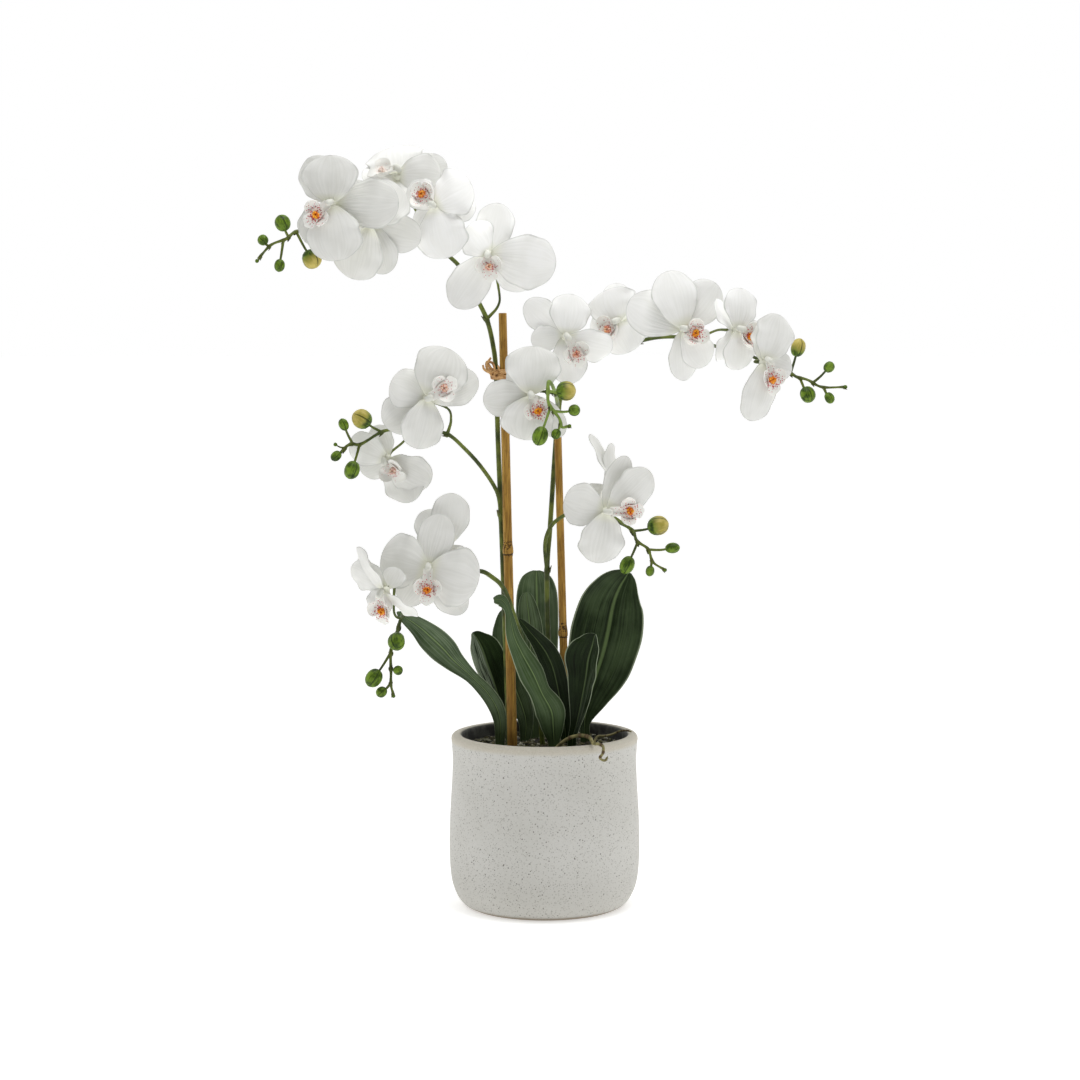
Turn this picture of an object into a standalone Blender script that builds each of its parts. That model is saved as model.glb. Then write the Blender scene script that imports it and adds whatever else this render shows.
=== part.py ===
"""Moth orchid in a stoneware pot: nine leaves, three flower spikes, eighteen blooms, two bamboo canes.

Metres, +Z up, front towards -Y, the middle of the pot's base at the origin.
"""

import math

import bmesh
import bpy
from mathutils import Quaternion, Vector
from mathutils.geometry import intersect_point_line

MM = 0.001
GAP = 0.3

# Pot and potting mix, in mm: outer profile from the lip down, then the inner wall up from the floor
POT_SIDES = 32
POT_OUTER = [
    (78.5, 154.0), (81.4, 153.2), (82.8, 150.4), (82.3, 144.0), (81.6, 130.0), (82.4, 110.0),
    (84.0, 84.0), (84.7, 58.0), (84.3, 38.0), (82.6, 22.0), (79.6, 10.0), (75.6, 3.0), (70.0, 0.0),
]
POT_INNER = [(62.0, 12.0), (71.0, 22.0), (74.4, 50.0), (73.4, 100.0), (72.6, 147.0), (73.8, 152.6)]
SOIL_TOP = 141.5
SOIL_CROWN = 2.0
HOLE_SIDES = 8
ROUND = math.cos(math.pi / HOLE_SIDES)
STEM_SUNK = 14.0
LEAF_SUNK = 9.0
CANE_SUNK = 60.0

# Standing point in front from which the plant was measured, in mm and steps of the view
EYE = Vector((-4.0, -2300.0, 526.0))
EYE_DIP = math.radians(4.96)
EYE_STEPS = 2611.0
EYE_MIDDLE = 540.0

# Bamboo canes: foot, top, radius at the foot and at the top, place of the knuckle along the cane
CANES = {
    "cane_left": ((512.5, 747, -17), (502.6, 313, -24), 4.5, 3.5, 0.526),
    "cane_right": ((566, 744, 3), (557.5, 420, -4), 3.7, 3.2, 0.452),
}
CANE_SIDES = 12

# Flower spikes: the first row of each stem stands in the mix, the others branch from it
SPIKES = {
    "stem_left": [
        [(509, 745, -5), (504, 600, -10), (501, 515, -13), (498, 440, -13), (496, 372, -15),
         (493, 345, -15), (487, 320, -16), (476, 297, -18), (461, 269, -22), (450, 257, -25),
         (425, 235, -30), (398, 222, -36), (368, 216, -45), (335, 222, -58), (308, 230, -78),
         (295, 232, -90), (286, 239, -96), (271, 245, -98), (258, 259, -98)],
        [(501, 515, -13), (497, 492, -16), (482, 468, -25), (464, 448, -37), (447, 434, -46),
         (425, 431, -55), (405, 430, -63), (384, 431, -71), (361, 444, -78), (350, 444, -80),
         (340, 453, -83)],
    ],
    "stem_low": [
        [(543, 744, -14), (538, 700, -19), (528, 660, -27), (518, 628, -34), (505, 591, -41),
         (492, 577, -46), (478, 571, -50), (455, 577, -56), (430, 592, -62), (410, 606, -70),
         (402, 616, -77), (397, 632, -86), (391, 650, -92), (391, 672, -96), (391, 685, -98),
         (393.5, 695, -98)],
    ],
    "stem_right": [
        [(552, 744, 5), (548, 640, 7), (547, 571, 7), (550, 528, 7), (554, 466, 8), (557, 425, 8),
         (560, 400, 6), (566, 372, 2), (585, 353, -2), (612, 350, -6), (640, 341, -12),
         (663, 337, -18), (690, 338, -24), (711, 345, -30), (740, 352, -38), (770, 364, -48),
         (790, 373, -57), (797, 377, -62), (808, 380, -66), (822, 387, -70), (845, 387, -74)],
        [(547, 571, 7), (545, 545, 0), (550, 528, -9), (560, 518, -15), (575, 512, -16),
         (600, 515, -17), (622, 524, -30), (633, 531, -46), (637, 541, -53), (648, 549, -57),
         (653, 562, -60), (665, 570, -60)],
        [(557, 410, 8), (557.5, 404, -28), (556.5, 398, -66), (554.5, 391, -98), (551.5, 384, -115),
         (548.5, 382, -122), (548, 391, -125), (549, 404, -124), (559, 418, -124), (562, 427, -124),
         (569, 426, -124)],
    ],
}
SPIKE_FOOT = 2.3
SPIKE_TIP = 0.9
SPIKE_STEPS = 1
STALK_RADIUS = 1.3

# Buds: row of the stem, spot of the seat on it, centre with its depth, width and length in the view
BUDS = {
    "stem_left": [
        (0, (289, 236), (282.5, 223, -97), 17, 16), (0, (269, 246), (263, 240, -97), 11, 11),
        (0, (284, 241), (279.4, 265.5, -99), 11, 13), (0, (303, 232), (311.7, 259, -94), 20, 20),
        (1, (384, 431), (361.8, 419, -80), 21, 20), (1, (353, 443), (343.6, 424.5, -81), 10, 13),
        (1, (343, 449), (336, 456, -84), 12, 10), (1, (345, 447), (335.4, 444.5, -83), 4, 4),
        (1, (361, 444), (351.8, 470, -84), 16, 19), (0, (260, 256), (257, 261, -98), 4, 4),
    ],
    "stem_low": [
        (0, (401, 618), (396.5, 641.4, -98), 18, 20), (0, (390, 652), (373.7, 678, -97), 17, 20),
        (0, (391, 668), (398, 670.4, -98), 10, 10), (0, (391, 683), (381.5, 692, -98), 11, 12),
        (0, (393, 694), (393.5, 696, -98), 4, 4),
    ],
    "stem_right": [
        (0, (788, 372), (798, 347.5, -62), 15, 19), (0, (798, 377), (807.6, 394.6, -68), 17, 16),
        (0, (812, 381), (829, 367, -74), 12, 11), (0, (823, 387), (829.4, 398, -74), 12, 10),
        (0, (844, 387), (845, 387, -74), 4, 5), (1, (629, 527), (658, 525.6, -50), 22, 20),
        (1, (637, 541), (627, 565, -56), 15, 19), (1, (652, 560), (650, 571, -62), 9, 11),
        (1, (648, 549), (672.5, 548, -60), 15, 11), (1, (664, 569), (665, 570, -60), 4, 4),
        (2, (548, 391), (566, 391, -124), 20, 20), (2, (554, 411), (574.3, 410.3, -126), 12, 12),
        (2, (549, 408), (540, 436, -126), 16, 20), (2, (561, 424), (556, 434, -125), 10, 11),
        (2, (568, 426), (569.5, 426, -124), 4, 4),
    ],
}

# Blooms: stem and row, centre, facing, spot of the lip, two petals and three sepals.
# Each blade: tip across, tip down, width in mm, lean of the tip away from the front in mm, turn.
BLOOMS = [
    ("stem_left", 0, (332, 204, -110), (-0.3, -1, 0), (316, 215),
     [(330, 155, 50, -2), (338, 261, 50, -4)],
     [(391, 204, 30, -8), (308, 158, 36, 14), (305, 242, 36, 12)]),
    ("stem_left", 0, (370, 224, -76), (-0.35, -0.9, 0.1), (350, 228),
     [(400, 186, 46, -4), (352, 279, 48, 0)],
     [(421, 240, 32, 0), (386, 274, 32, 4), (347, 182, 32, 8)]),
    ("stem_left", 0, (398, 177, -48), (-0.2, -0.6, 0.75), (382, 171),
     [(393, 147, 52, 22), (441, 176, 38, -2, 50)],
     [(447, 164, 30, 6, 50), (362, 172, 30, 4), (404, 203, 30, -10)]),
    ("stem_left", 0, (436, 206, -72), (-0.45, -0.85, 0.2), (422, 194),
     [(471, 183, 46, -8), (448, 258, 50, -4)],
     [(476, 208, 26, -2), (409, 185, 28, 12), (414, 235, 28, 12)]),
    ("stem_left", 0, (489, 254, -52), (-0.1, -0.95, -0.2), (489, 266),
     [(556, 266, 48, -4), (468, 226, 40, -10, 45)],
     [(499, 203, 34, 6), (454, 307, 36, 4), (528, 288, 30, 6)]),
    ("stem_left", 1, (427, 398, -90), (0.35, -0.9, 0.1), (444, 388),
     [(450, 349, 50, 4), (417, 449, 38, -2)],
     [(478, 378, 34, 16), (384, 425, 36, -2), (391, 381, 36, -4)]),
    ("stem_left", 1, (388, 458, -54), (-0.2, -0.85, -0.4), (390, 468),
     [(430, 484, 40, 0), (350, 440, 34, 0)],
     [(412, 502, 38, 6), (361, 472, 28, 6), (374, 426, 26, 6)]),
    ("stem_low", 0, (428, 568, -112), (0.05, -1, 0.05), (427, 590),
     [(381, 556, 48, 0), (478, 584, 52, 0)],
     [(442, 514, 32, 8), (402, 604, 28, 8), (464, 613, 30, 8)]),
    ("stem_low", 0, (446, 546, -79), (0.2, -1, 0.1), (446, 556),
     [(453, 493, 34, 4), (421, 512, 30, 2)],
     [(467, 568, 24, 2), (414, 550, 20, 2), (450, 588, 24, 0)]),
    ("stem_low", 0, (386, 590, -138), (-0.5, -0.75, -0.4), (382, 611),
     [(357, 547, 42, 0, -30), (418, 616, 36, -8, 32)],
     [(351, 567, 34, 10), (398, 568, 22, 6), (373, 613, 24, 14)]),
    ("stem_right", 0, (565, 336, -55), (0.3, -0.9, -0.2), (576, 354),
     [(572, 294, 38, 0), (612, 350, 34, 6, 25)],
     [(526, 301, 28, 0), (531, 341, 24, 0), (572, 384, 34, 6)]),
    ("stem_right", 0, (620, 322, -36), (-0.5, -0.8, 0), (609, 328),
     [(606, 290, 50, 0), (630, 352, 42, -6)],
     [(616, 283, 30, 10, 50), (645, 338, 30, -6), (590, 330, 26, 12)]),
    ("stem_right", 0, (683, 329, -60), (0.2, -0.95, 0), (693, 332),
     [(667, 271, 40, 2), (706, 366, 30, 4)],
     [(628, 302, 40, 2), (716, 283, 38, 8), (684, 381, 26, 10)]),
    ("stem_right", 0, (736, 330, -71), (0.6, -0.8, 0), (747, 333),
     [(741, 288, 38, 2), (738, 370, 36, 2)],
     [(715, 300, 30, -6, 35), (716, 360, 30, -6, -35), (764, 336, 24, 14)]),
    ("stem_right", 0, (763, 362, -98), (0.5, -0.85, 0), (772, 380),
     [(780, 315, 40, 6), (750, 421, 34, -4)],
     [(766, 324, 26, 12), (757, 404, 24, 10), (792, 370, 26, 16)]),
    ("stem_right", 2, (531, 395, -106), (0.1, -0.95, -0.1), (538, 411),
     [(534, 346, 48, 2), (524, 440, 46, 0)],
     [(483, 401, 32, 0), (563, 436, 24, 8), (512, 366, 24, 10)]),
    ("stem_right", 1, (606, 511, -82), (0.35, -0.9, 0), (630, 511),
     [(596, 563, 42, 0), (651, 472, 34, 10)],
     [(564, 500, 38, -4), (627, 456, 24, 8), (611, 552, 22, 10)]),
    ("stem_right", 1, (611, 488, -42), (0.1, -1, 0.1), (614, 498),
     [(590, 434, 30, 0, 65), (641, 488, 30, 0)],
     [(611, 443, 28, 0, 60), (583, 503, 24, 2), (630, 511, 22, 4)]),
]
# Bends of the stalks that don't go straight from the stem to the bloom, by bloom
STALK_BENDS = {
    2: [(424, 224, -30), (416, 211, -34), (407, 199, -36)],
    4: [(490, 318, -16), (498, 306, -20), (499, 291, -24)],
    5: [(448, 433, -46), (451, 420, -54), (447, 408, -64)],
    6: [(409, 431, -62), (404, 441, -56)],
    9: [(405, 612, -74), (400, 618, -92), (394, 612, -108)],
    13: [(698, 340, -27), (708, 334, -36), (718, 330, -48)],
}
BLADE_THICK = 1.0
HUB_RADIUS = 4.6
ROOT_LIFT = 2.2
PETAL_BOW = 0.10
SEPAL_BOW = 0.01
CUP = 0.10
PETAL_STATIONS = [0.05, 0.3, 0.62, 0.88, 1.0]
SEPAL_STATIONS = [0.05, 0.38, 0.78, 1.0]
LIP_ROOT = 1.66
LIP_RISE = 4.0
LIP_REACH = (9.0, 18.0)
LIP_THICK = 0.9
COLUMN_LENGTH = 8.0
# Lip: mm past a share of the way to its callus, that share, half width, rise of its edges and its midline
LIP_STATIONS = [(0.0, -0.08, 1.6, 0.0, 0.2), (0.0, 0.55, 8.5, 4.5, 2.6), (1.5, 1.0, 10.0, 4.0, 4.0),
                (7.0, 1.0, 6.5, 1.0, 4.6), (12.0, 1.0, 1.2, 0.0, 3.6)]

# Leaves: stations from the foot to the tip, each with its half width in mm, then turn in degrees and fold
LEAVES = [
    ([(554, 743, -30, 4), (553, 727, -34, 10.5), (551, 711, -40, 13.5), (541.5, 693, -46, 10.0),
      (533, 674, -52, 11.6), (521.5, 653, -60, 8.6), (513.5, 635, -68, 6.3), (508.5, 611, -75, 3.2),
      (502, 600.5, -79, 5.4), (494, 600, -83, 2.4)], 18, -0.3),
    ([(566, 741, -6, 4), (564, 722, -6, 6.5), (560, 700, -7, 9.3), (554, 672, -10, 10.2),
      (547, 654.5, -12.5, 10.0), (538, 641.5, -15, 7.6), (529.5, 631.5, -17, 5.3), (519, 619, -18, 0.8)],
     10, 0.25),
    ([(572, 739, -20, 3.6), (577, 722, -21, 5.4), (581.5, 702, -24, 9.8), (586, 678, -30, 15.0),
      (588.5, 660, -36, 19.5), (592.5, 646, -41, 15.0), (594, 639, -43, 9.6), (595.5, 634, -44, 0.8)],
     -40, 0.5),
    ([(585, 738, 6, 4), (585, 719, 9, 7.0), (589, 699, 12, 17.5), (596, 675, 17, 28.0),
      (602.5, 655, 20, 31.0), (608, 632, 25, 32.5), (613, 606, 29, 29.0), (619, 589, 30, 21.5),
      (629, 572, 30, 3.0)], -8, 0.3),
    ([(544, 740, 34, 4), (541, 702, 44, 10.0), (539, 668, 53, 16.0), (537.5, 636, 62, 19.0),
      (537, 600, 71, 19.0), (536.5, 581, 77, 15.0), (536.5, 570.5, 80, 3.0)], 0, 0.3),
    ([(534, 740, 23, 4), (532, 700, 28, 8.5), (531, 665, 36, 12.0), (530, 632, 45, 11.8),
      (528.5, 613, 50, 9.6), (527, 601, 53, 7.0), (526.6, 592, 56, 1.0)], 0, 0.32),
    ([(525, 742, 12, 4), (526, 722, 14, 6.8), (522, 706, 16, 9.4), (514, 684, 20, 11.0),
      (508.5, 658, 25, 12.8), (506, 636, 30, 12.4), (505, 622, 33, 9.0), (504, 609, 36, 1.0)], 0, 0.32),
    ([(511, 742, 6, 4), (506, 722, 7, 6.5), (499.5, 700, 8, 10.5), (493, 681, 9, 14.5), (487, 664, 12, 17.0),
      (481.5, 648, 16, 15.0), (476.5, 638, 18, 8.0), (472.5, 632.5, 19, 0.8)], 30, 0.45),
    ([(500, 742, -9, 4), (500.5, 723, -12, 5.6), (496.5, 707, -15, 6.9), (486, 691, -20, 6.6),
      (470, 675, -27, 6.0), (454, 660.5, -34, 9.4), (443, 648.5, -40, 12.4), (431, 637, -47, 12.2),
      (417, 625, -56, 8.4), (397, 612, -65, 0.8)], -10, 0.3),
]
LEAF_THICK = 2.0
LEAF_FOOT = 4.0

# Aerial roots: from the mix at the stem's foot over the rim
ROOTS = {
    "root_curled": ([(550, 743, -43), (563, 742, -47), (572, 737, -52), (583, 735.5, -58), (590, 738, -66),
                     (593, 743.5, -75), (598, 744, -83), (603, 746.5, -88), (603, 753, -91),
                     (600, 758, -90), (605, 760.5, -91), (608, 756, -91)], 1.7),
    "root_rim": ([(592, 742, -14), (597, 737, -6), (605, 736, -2), (613, 734, 0), (620, 731, 0),
                  (627, 730.5, 0), (632, 732, 0)], 1.2),
}

TIE_RADIUS = 1.1
TIE_TURNS = 2

COLOURS = {
    "stoneware": (0.62, 0.60, 0.55, 1),
    "mix": (0.05, 0.035, 0.025, 1),
    "cane": (0.50, 0.30, 0.12, 1),
    "raffia": (0.62, 0.42, 0.20, 1),
    "stem": (0.13, 0.20, 0.05, 1),
    "root": (0.22, 0.20, 0.08, 1),
    "leaf": (0.03, 0.09, 0.03, 1),
    "petal": (0.82, 0.83, 0.80, 1),
    "lip": (0.85, 0.45, 0.35, 1),
}


def seen(across, down, depth):
    """Place, in mm, at a spot of the front view and a depth behind the pot's axis."""
    u = (across - EYE_MIDDLE) / EYE_STEPS
    v = (EYE_MIDDLE - down) / EYE_STEPS
    ray = Vector((u, math.cos(EYE_DIP) + v * math.sin(EYE_DIP), v * math.cos(EYE_DIP) - math.sin(EYE_DIP)))
    return EYE + ray * ((depth - EYE.y) / ray.y)


def steps_to_mm(depth):
    """Size of one step of the view at a depth."""
    return (depth - EYE.y) / EYE_STEPS


def smooth(points, steps):
    """Points of a smooth line through the given points."""
    ends = [points[0] * 2 - points[1]] + points + [points[-1] * 2 - points[-2]]
    line = []
    for i in range(1, len(ends) - 2):
        a, b, c, d = ends[i - 1:i + 3]
        for j in range(steps):
            t = j / steps
            line.append(0.5 * (2 * b + (c - a) * t + (2 * a - 5 * b + 4 * c - d) * t * t
                               + (3 * b - a - 3 * c + d) * t ** 3))
    return line + [points[-1]]


def material(name):
    """Plain material of a sub-part."""
    made = bpy.data.materials.new(name)
    made.use_nodes = True
    made.node_tree.nodes["Principled BSDF"].inputs["Base Color"].default_value = COLOURS[name]
    made.diffuse_color = COLOURS[name]
    return made


def add_object(name, mesh):
    """Object of a mesh, in the scene's own collection."""
    made = bpy.data.objects.new(name, mesh)
    bpy.context.scene.collection.objects.link(made)
    return made


def mesh_object(name, places, faces):
    """Object from places in mm and faces, with its normals turned outwards."""
    mesh = bpy.data.meshes.new(name)
    mesh.from_pydata([p * MM for p in places], [], faces)
    shell = bmesh.new()
    shell.from_mesh(mesh)
    bmesh.ops.recalc_face_normals(shell, faces=shell.faces)
    shell.to_mesh(mesh)
    shell.free()
    return add_object(name, mesh)


def finish(thing, home, colour, angle=40):
    """Name, collection, material and shading of a finished sub-part."""
    thing.data.materials.clear()
    thing.data.materials.append(colour)
    thing.data.shade_smooth()
    thing.data.set_sharp_from_angle(angle=math.radians(angle))
    for collection in thing.users_collection:
        collection.objects.unlink(thing)
    home.objects.link(thing)
    return thing


def plain_mesh(thing):
    """Replace an object that has modifiers or is a curve by its plain mesh."""
    bpy.context.view_layer.update()
    depsgraph = bpy.context.evaluated_depsgraph_get()
    mesh = bpy.data.meshes.new_from_object(thing.evaluated_get(depsgraph))
    name = thing.name
    place = thing.matrix_world.copy()
    bpy.data.objects.remove(thing)
    shell = bmesh.new()
    shell.from_mesh(mesh)
    bmesh.ops.remove_doubles(shell, verts=shell.verts, dist=1e-6)
    bmesh.ops.recalc_face_normals(shell, faces=shell.faces)
    shell.to_mesh(mesh)
    shell.free()
    made = add_object(name, mesh)
    made.matrix_world = place
    return made


def rod(name, line, radii, ring=1, closed=False):
    """Round rod along a line of places in mm, with a radius in mm at each."""
    curve = bpy.data.curves.new(name, "CURVE")
    curve.dimensions = "3D"
    curve.bevel_depth = MM
    curve.bevel_resolution = ring
    curve.use_fill_caps = not closed
    spline = curve.splines.new("POLY")
    spline.points.add(len(line) - 1)
    spline.use_cyclic_u = closed
    for point, place, radius in zip(spline.points, line, radii):
        point.co = (*(place * MM), 1)
        point.radius = radius
    return plain_mesh(add_object(name, curve))


def ball(name, centre, size, axis=Vector((0, 0, 1)), fine=2):
    """Ellipsoid with its width and length in mm, long along an axis."""
    bpy.ops.mesh.primitive_ico_sphere_add(subdivisions=fine, radius=0.5)
    made = bpy.context.object
    made.name = name
    turn = axis.to_track_quat("Z", "Y")
    for vertex in made.data.vertices:
        vertex.co = (turn @ Vector((vertex.co.x * size[0], vertex.co.y * size[0], vertex.co.z * size[1]))
                     + centre) * MM
    return made


def fuse(name, things):
    """One body out of several that run into each other."""
    group = bpy.data.collections.new(name + "_pieces")
    for thing in things[1:]:
        group.objects.link(thing)
    first = things[0]
    first.name = name
    join = first.modifiers.new("join", "BOOLEAN")
    join.operation = "UNION"
    join.operand_type = "COLLECTION"
    join.collection = group
    join.solver = "EXACT"
    made = plain_mesh(first)
    for thing in things[1:]:
        bpy.data.objects.remove(thing)
    bpy.data.collections.remove(group)
    made.name = name
    return made


def turned(name, profile, sides):
    """Turned piece: a profile in mm swept about the upright axis."""
    mesh = bpy.data.meshes.new(name)
    count = len(profile)
    mesh.from_pydata([(r * MM, 0, z * MM) for r, z in profile], [(i, i + 1) for i in range(count - 1)], [])
    made = add_object(name, mesh)
    sweep = made.modifiers.new("sweep", "SCREW")
    sweep.steps = sides
    sweep.render_steps = sides
    sweep.use_merge_vertices = True
    sweep.merge_threshold = 1e-5
    return plain_mesh(made)


def make_pot(home, colour):
    """Stoneware pot with a flat rim, a slight waist and a round foot."""
    inner = [(0.0, POT_INNER[0][1])] + POT_INNER + [(75.2, 154.0)]
    return finish(turned("pot", inner + POT_OUTER + [(0.0, 0.0)], POT_SIDES), home, colour, 50)


def make_soil(home, colour, holes):
    """Potting mix inside the pot, with a plain hole for each stem."""
    wall = [(r - GAP, z + GAP) for r, z in POT_INNER if z < SOIL_TOP - SOIL_CROWN]
    edge = [(72.2, SOIL_TOP - SOIL_CROWN)]
    crown = [(r, SOIL_TOP - SOIL_CROWN * (r / 72.2) ** 2) for r in (40, 0)]
    soil = turned("soil", [(0.0, wall[0][1])] + wall + edge + crown, POT_SIDES)
    cutters = bpy.data.collections.new("cutters")
    bpy.context.scene.collection.children.link(cutters)
    for number, (x, y, radius, depth) in enumerate(holes):
        bpy.ops.mesh.primitive_cylinder_add(vertices=HOLE_SIDES, radius=radius / ROUND * MM,
                                            depth=2 * depth * MM, location=(x * MM, y * MM, SOIL_TOP * MM))
        cutter = bpy.context.object
        cutter.name = f"hole_{number}"
        cutter.display_type = "WIRE"
        cutter.hide_render = True
        cutter.users_collection[0].objects.unlink(cutter)
        cutters.objects.link(cutter)
    cut = soil.modifiers.new("holes", "BOOLEAN")
    cut.operation = "DIFFERENCE"
    cut.operand_type = "COLLECTION"
    cut.collection = cutters
    cut.solver = "EXACT"
    soil = plain_mesh(soil)
    for cutter in list(cutters.objects):
        bpy.data.objects.remove(cutter)
    bpy.data.collections.remove(cutters)
    return finish(soil, home, colour, 35)


def stand(line, sunk):
    """A line that starts in the mix, with its foot taken straight down to a depth."""
    foot = Vector((line[0].x, line[0].y, SOIL_TOP - sunk))
    brow = Vector((line[0].x, line[0].y, SOIL_TOP + 1.0))
    return [foot, brow] + line[1:]


def make_cane(name, home, colour, holes):
    """Bamboo cane: a tapered rod with a raised knuckle."""
    foot, top, thick, thin, knuckle = CANES[name]
    start = seen(*foot)
    end = seen(*top)
    lean = (end - start) / (end.z - start.z)
    base = start + lean * (SOIL_TOP - CANE_SUNK - start.z)
    length = (end - base).length
    spots = [(0, 0), (knuckle - 2.5 / length, 0), (knuckle - 0.8 / length, 0.5),
             (knuckle + 0.8 / length, 0.5), (knuckle + 2.5 / length, 0), (1, 0)]
    line = [base.lerp(end, t) for t, _ in spots]
    radii = [thick + (thin - thick) * t + extra for t, extra in spots]
    cane = rod(name, line, radii, CANE_SIDES // 2 - 2)
    holes.append((base, end, thick + GAP))
    return finish(cane, home, colour, 50)


def make_tie(home, colour):
    """Raffia wound twice round the left cane and its spike, with a knot and two short ends."""
    foot, top, thick, thin, _ = CANES["cane_left"]
    height = seen(*top).lerp(seen(*foot), 0.135).z
    cane = on_height(seen(*foot), seen(*top), height)
    spike = nearest(smooth([seen(*p) for p in SPIKES["stem_left"][0]], 12), cane)
    away = (spike - cane)
    away.z = 0
    reach = away.length
    out = away.normalized()
    side = Vector((-out.y, out.x, 0))
    cane_gap = thin + 0.9 + TIE_RADIUS
    spike_gap = SPIKE_FOOT + 0.6 + TIE_RADIUS
    rings = []
    for turn in range(TIE_TURNS):
        rise = Vector((0, 0, (turn - 0.5) * 1.7 * TIE_RADIUS))
        loop = []
        for step in range(6):
            angle = math.radians(100 + 160 * step / 5)
            loop.append(cane + rise + (out * math.cos(angle) + side * math.sin(angle)) * cane_gap)
        for step in range(5):
            angle = math.radians(-80 + 160 * step / 4)
            loop.append(cane + out * reach + rise
                        + (out * math.cos(angle) + side * math.sin(angle)) * spike_gap)
        rings.append(rod(f"ring_{turn}", loop, [TIE_RADIUS] * len(loop), 0, True))
    front = side if side.y < 0 else -side
    knot = cane + out * (reach * 0.55) + front * (cane_gap + 1.6)
    rings.append(ball("knot", knot, (9.0, 10.5), fine=1))
    rings.append(rod("end_a", [knot, knot + Vector((-6, -3, 4)), knot + Vector((-9, -3, 2))],
                     [1.8, 1.5, 1.0], 0))
    rings.append(rod("end_b", [knot, knot + Vector((1, -4, 6)), knot + Vector((-1, -5, 10))],
                     [1.8, 1.5, 1.0], 0))
    return finish(fuse("raffia_tie", rings), home, colour, 50)


def on_height(a, b, height):
    """Point of the line through two places at a height."""
    return a + (b - a) * ((height - a.z) / (b.z - a.z))


def nearest(line, place):
    """Nearest point of a line of places."""
    best = None
    for a, b in zip(line, line[1:]):
        spot, share = intersect_point_line(place, a, b)
        spot = a if share < 0 else b if share > 1 else spot
        if best is None or (spot - place).length < (best - place).length:
            best = spot
    return best


def spike_line(name, row):
    """Smooth line of one row of a stem, standing in the mix where it is the first."""
    line = [seen(*p) for p in SPIKES[name][row]]
    if row == 0:
        line = stand(line, STEM_SUNK)
        return [line[0]] + smooth(line[1:], SPIKE_STEPS)
    return smooth(line, SPIKE_STEPS)


def bloom_frame(bloom):
    """Centre and facing of a bloom."""
    return seen(*bloom[2]), Vector(bloom[3]).normalized()


def make_stem(name, home, colour, holes):
    """Flower spike with its branches, the stalks of its blooms, and its buds."""
    pieces = []
    lines = []
    for row in range(len(SPIKES[name])):
        line = spike_line(name, row)
        thick = SPIKE_FOOT if row == 0 else SPIKE_FOOT * 0.8
        count = len(line) - 1
        radii = [thick + (SPIKE_TIP - thick) * (i / count) ** 1.5 for i in range(count + 1)]
        pieces.append(rod(f"{name}_{row}", line, radii))
        lines.append(line)
    holes.append((lines[0][0], lines[0][1], SPIKE_FOOT + GAP))
    for number, bloom in enumerate(BLOOMS):
        if bloom[0] == name:
            centre, facing = bloom_frame(bloom)
            back = centre - facing * (HUB_RADIUS + 0.35)
            bends = [seen(*p) for p in STALK_BENDS.get(number, [])]
            root = nearest(lines[bloom[1]], bends[0] if bends else centre - facing * 18)
            bend = centre - facing * min(12, 0.5 * (root - centre).length)
            path = [root] + (bends[1:] or [root.lerp(bend, 0.6) + Vector((0, 0, 1.5))]) + [bend, back]
            pieces.append(rod(f"{name}_stalk_{number}", path, [STALK_RADIUS] * len(path), 0))
    for number, (row, seat, spot, wide, tall) in enumerate(BUDS[name]):
        centre = seen(*spot)
        root = nearest(lines[row], seen(*seat, spot[2]))
        scale = steps_to_mm(spot[2])
        axis = (centre - root).normalized()
        middle = root.lerp(centre, 0.5) + Vector((0, 0, -1.0))
        pieces.append(rod(f"{name}_bud_stalk_{number}", [root, middle, centre], [1.0, 0.9, 0.9], 0))
        size = (min(wide, tall) * scale, max(wide, tall) * scale)
        pieces.append(ball(f"{name}_bud_{number}", centre, size, axis, 2 if wide > 15 else 1))
    return finish(fuse(name, pieces), home, colour, 60)


def blade(name, middle, halves, facings, cups, thick, across):
    """Thin blade along a midline, alike on both faces; each station has its half width, facing and cup."""
    places = []
    faces = []
    columns = across + 1
    count = len(middle)
    for i in range(count):
        along = (middle[min(i + 1, count - 1)] - middle[max(i - 1, 0)]).normalized()
        side = along.cross(facings[i]).normalized()
        out = side.cross(along)
        for level in (1, -1):
            for j in range(columns):
                v = 2 * j / across - 1
                place = middle[i] + side * (v * halves[i]) + out * (cups[i] * abs(v) ** 1.5)
                places.append(place + out * (level * thick / 2))

    def at(i, level, j):
        return (2 * i + level) * columns + j

    for i in range(count - 1):
        for j in range(across):
            for level in (0, 1):
                a, b = at(i, level, j), at(i, level, j + 1)
                c, d = at(i + 1, level, j + 1), at(i + 1, level, j)
                faces += [(a, b, c), (a, c, d)] if level == 0 else [(a, c, b), (a, d, c)]
        for j in (0, across):
            a, b = at(i, 0, j), at(i, 1, j)
            c, d = at(i + 1, 1, j), at(i + 1, 0, j)
            faces += [(a, b, c), (a, c, d)]
    for i in (0, count - 1):
        for j in range(across):
            a, b = at(i, 0, j), at(i, 1, j)
            c, d = at(i, 1, j + 1), at(i, 0, j + 1)
            faces += [(a, b, c), (a, c, d)]
    return mesh_object(name, places, faces)


def spread(share):
    """Half width of a petal or sepal along its length, as a share of the widest."""
    return math.sin(math.pi * min(share, 0.985) ** 1.35) ** 0.5


def turned_about(vector, axis, degrees):
    """A vector turned about an axis."""
    return Quaternion(axis, math.radians(degrees)) @ vector


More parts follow.
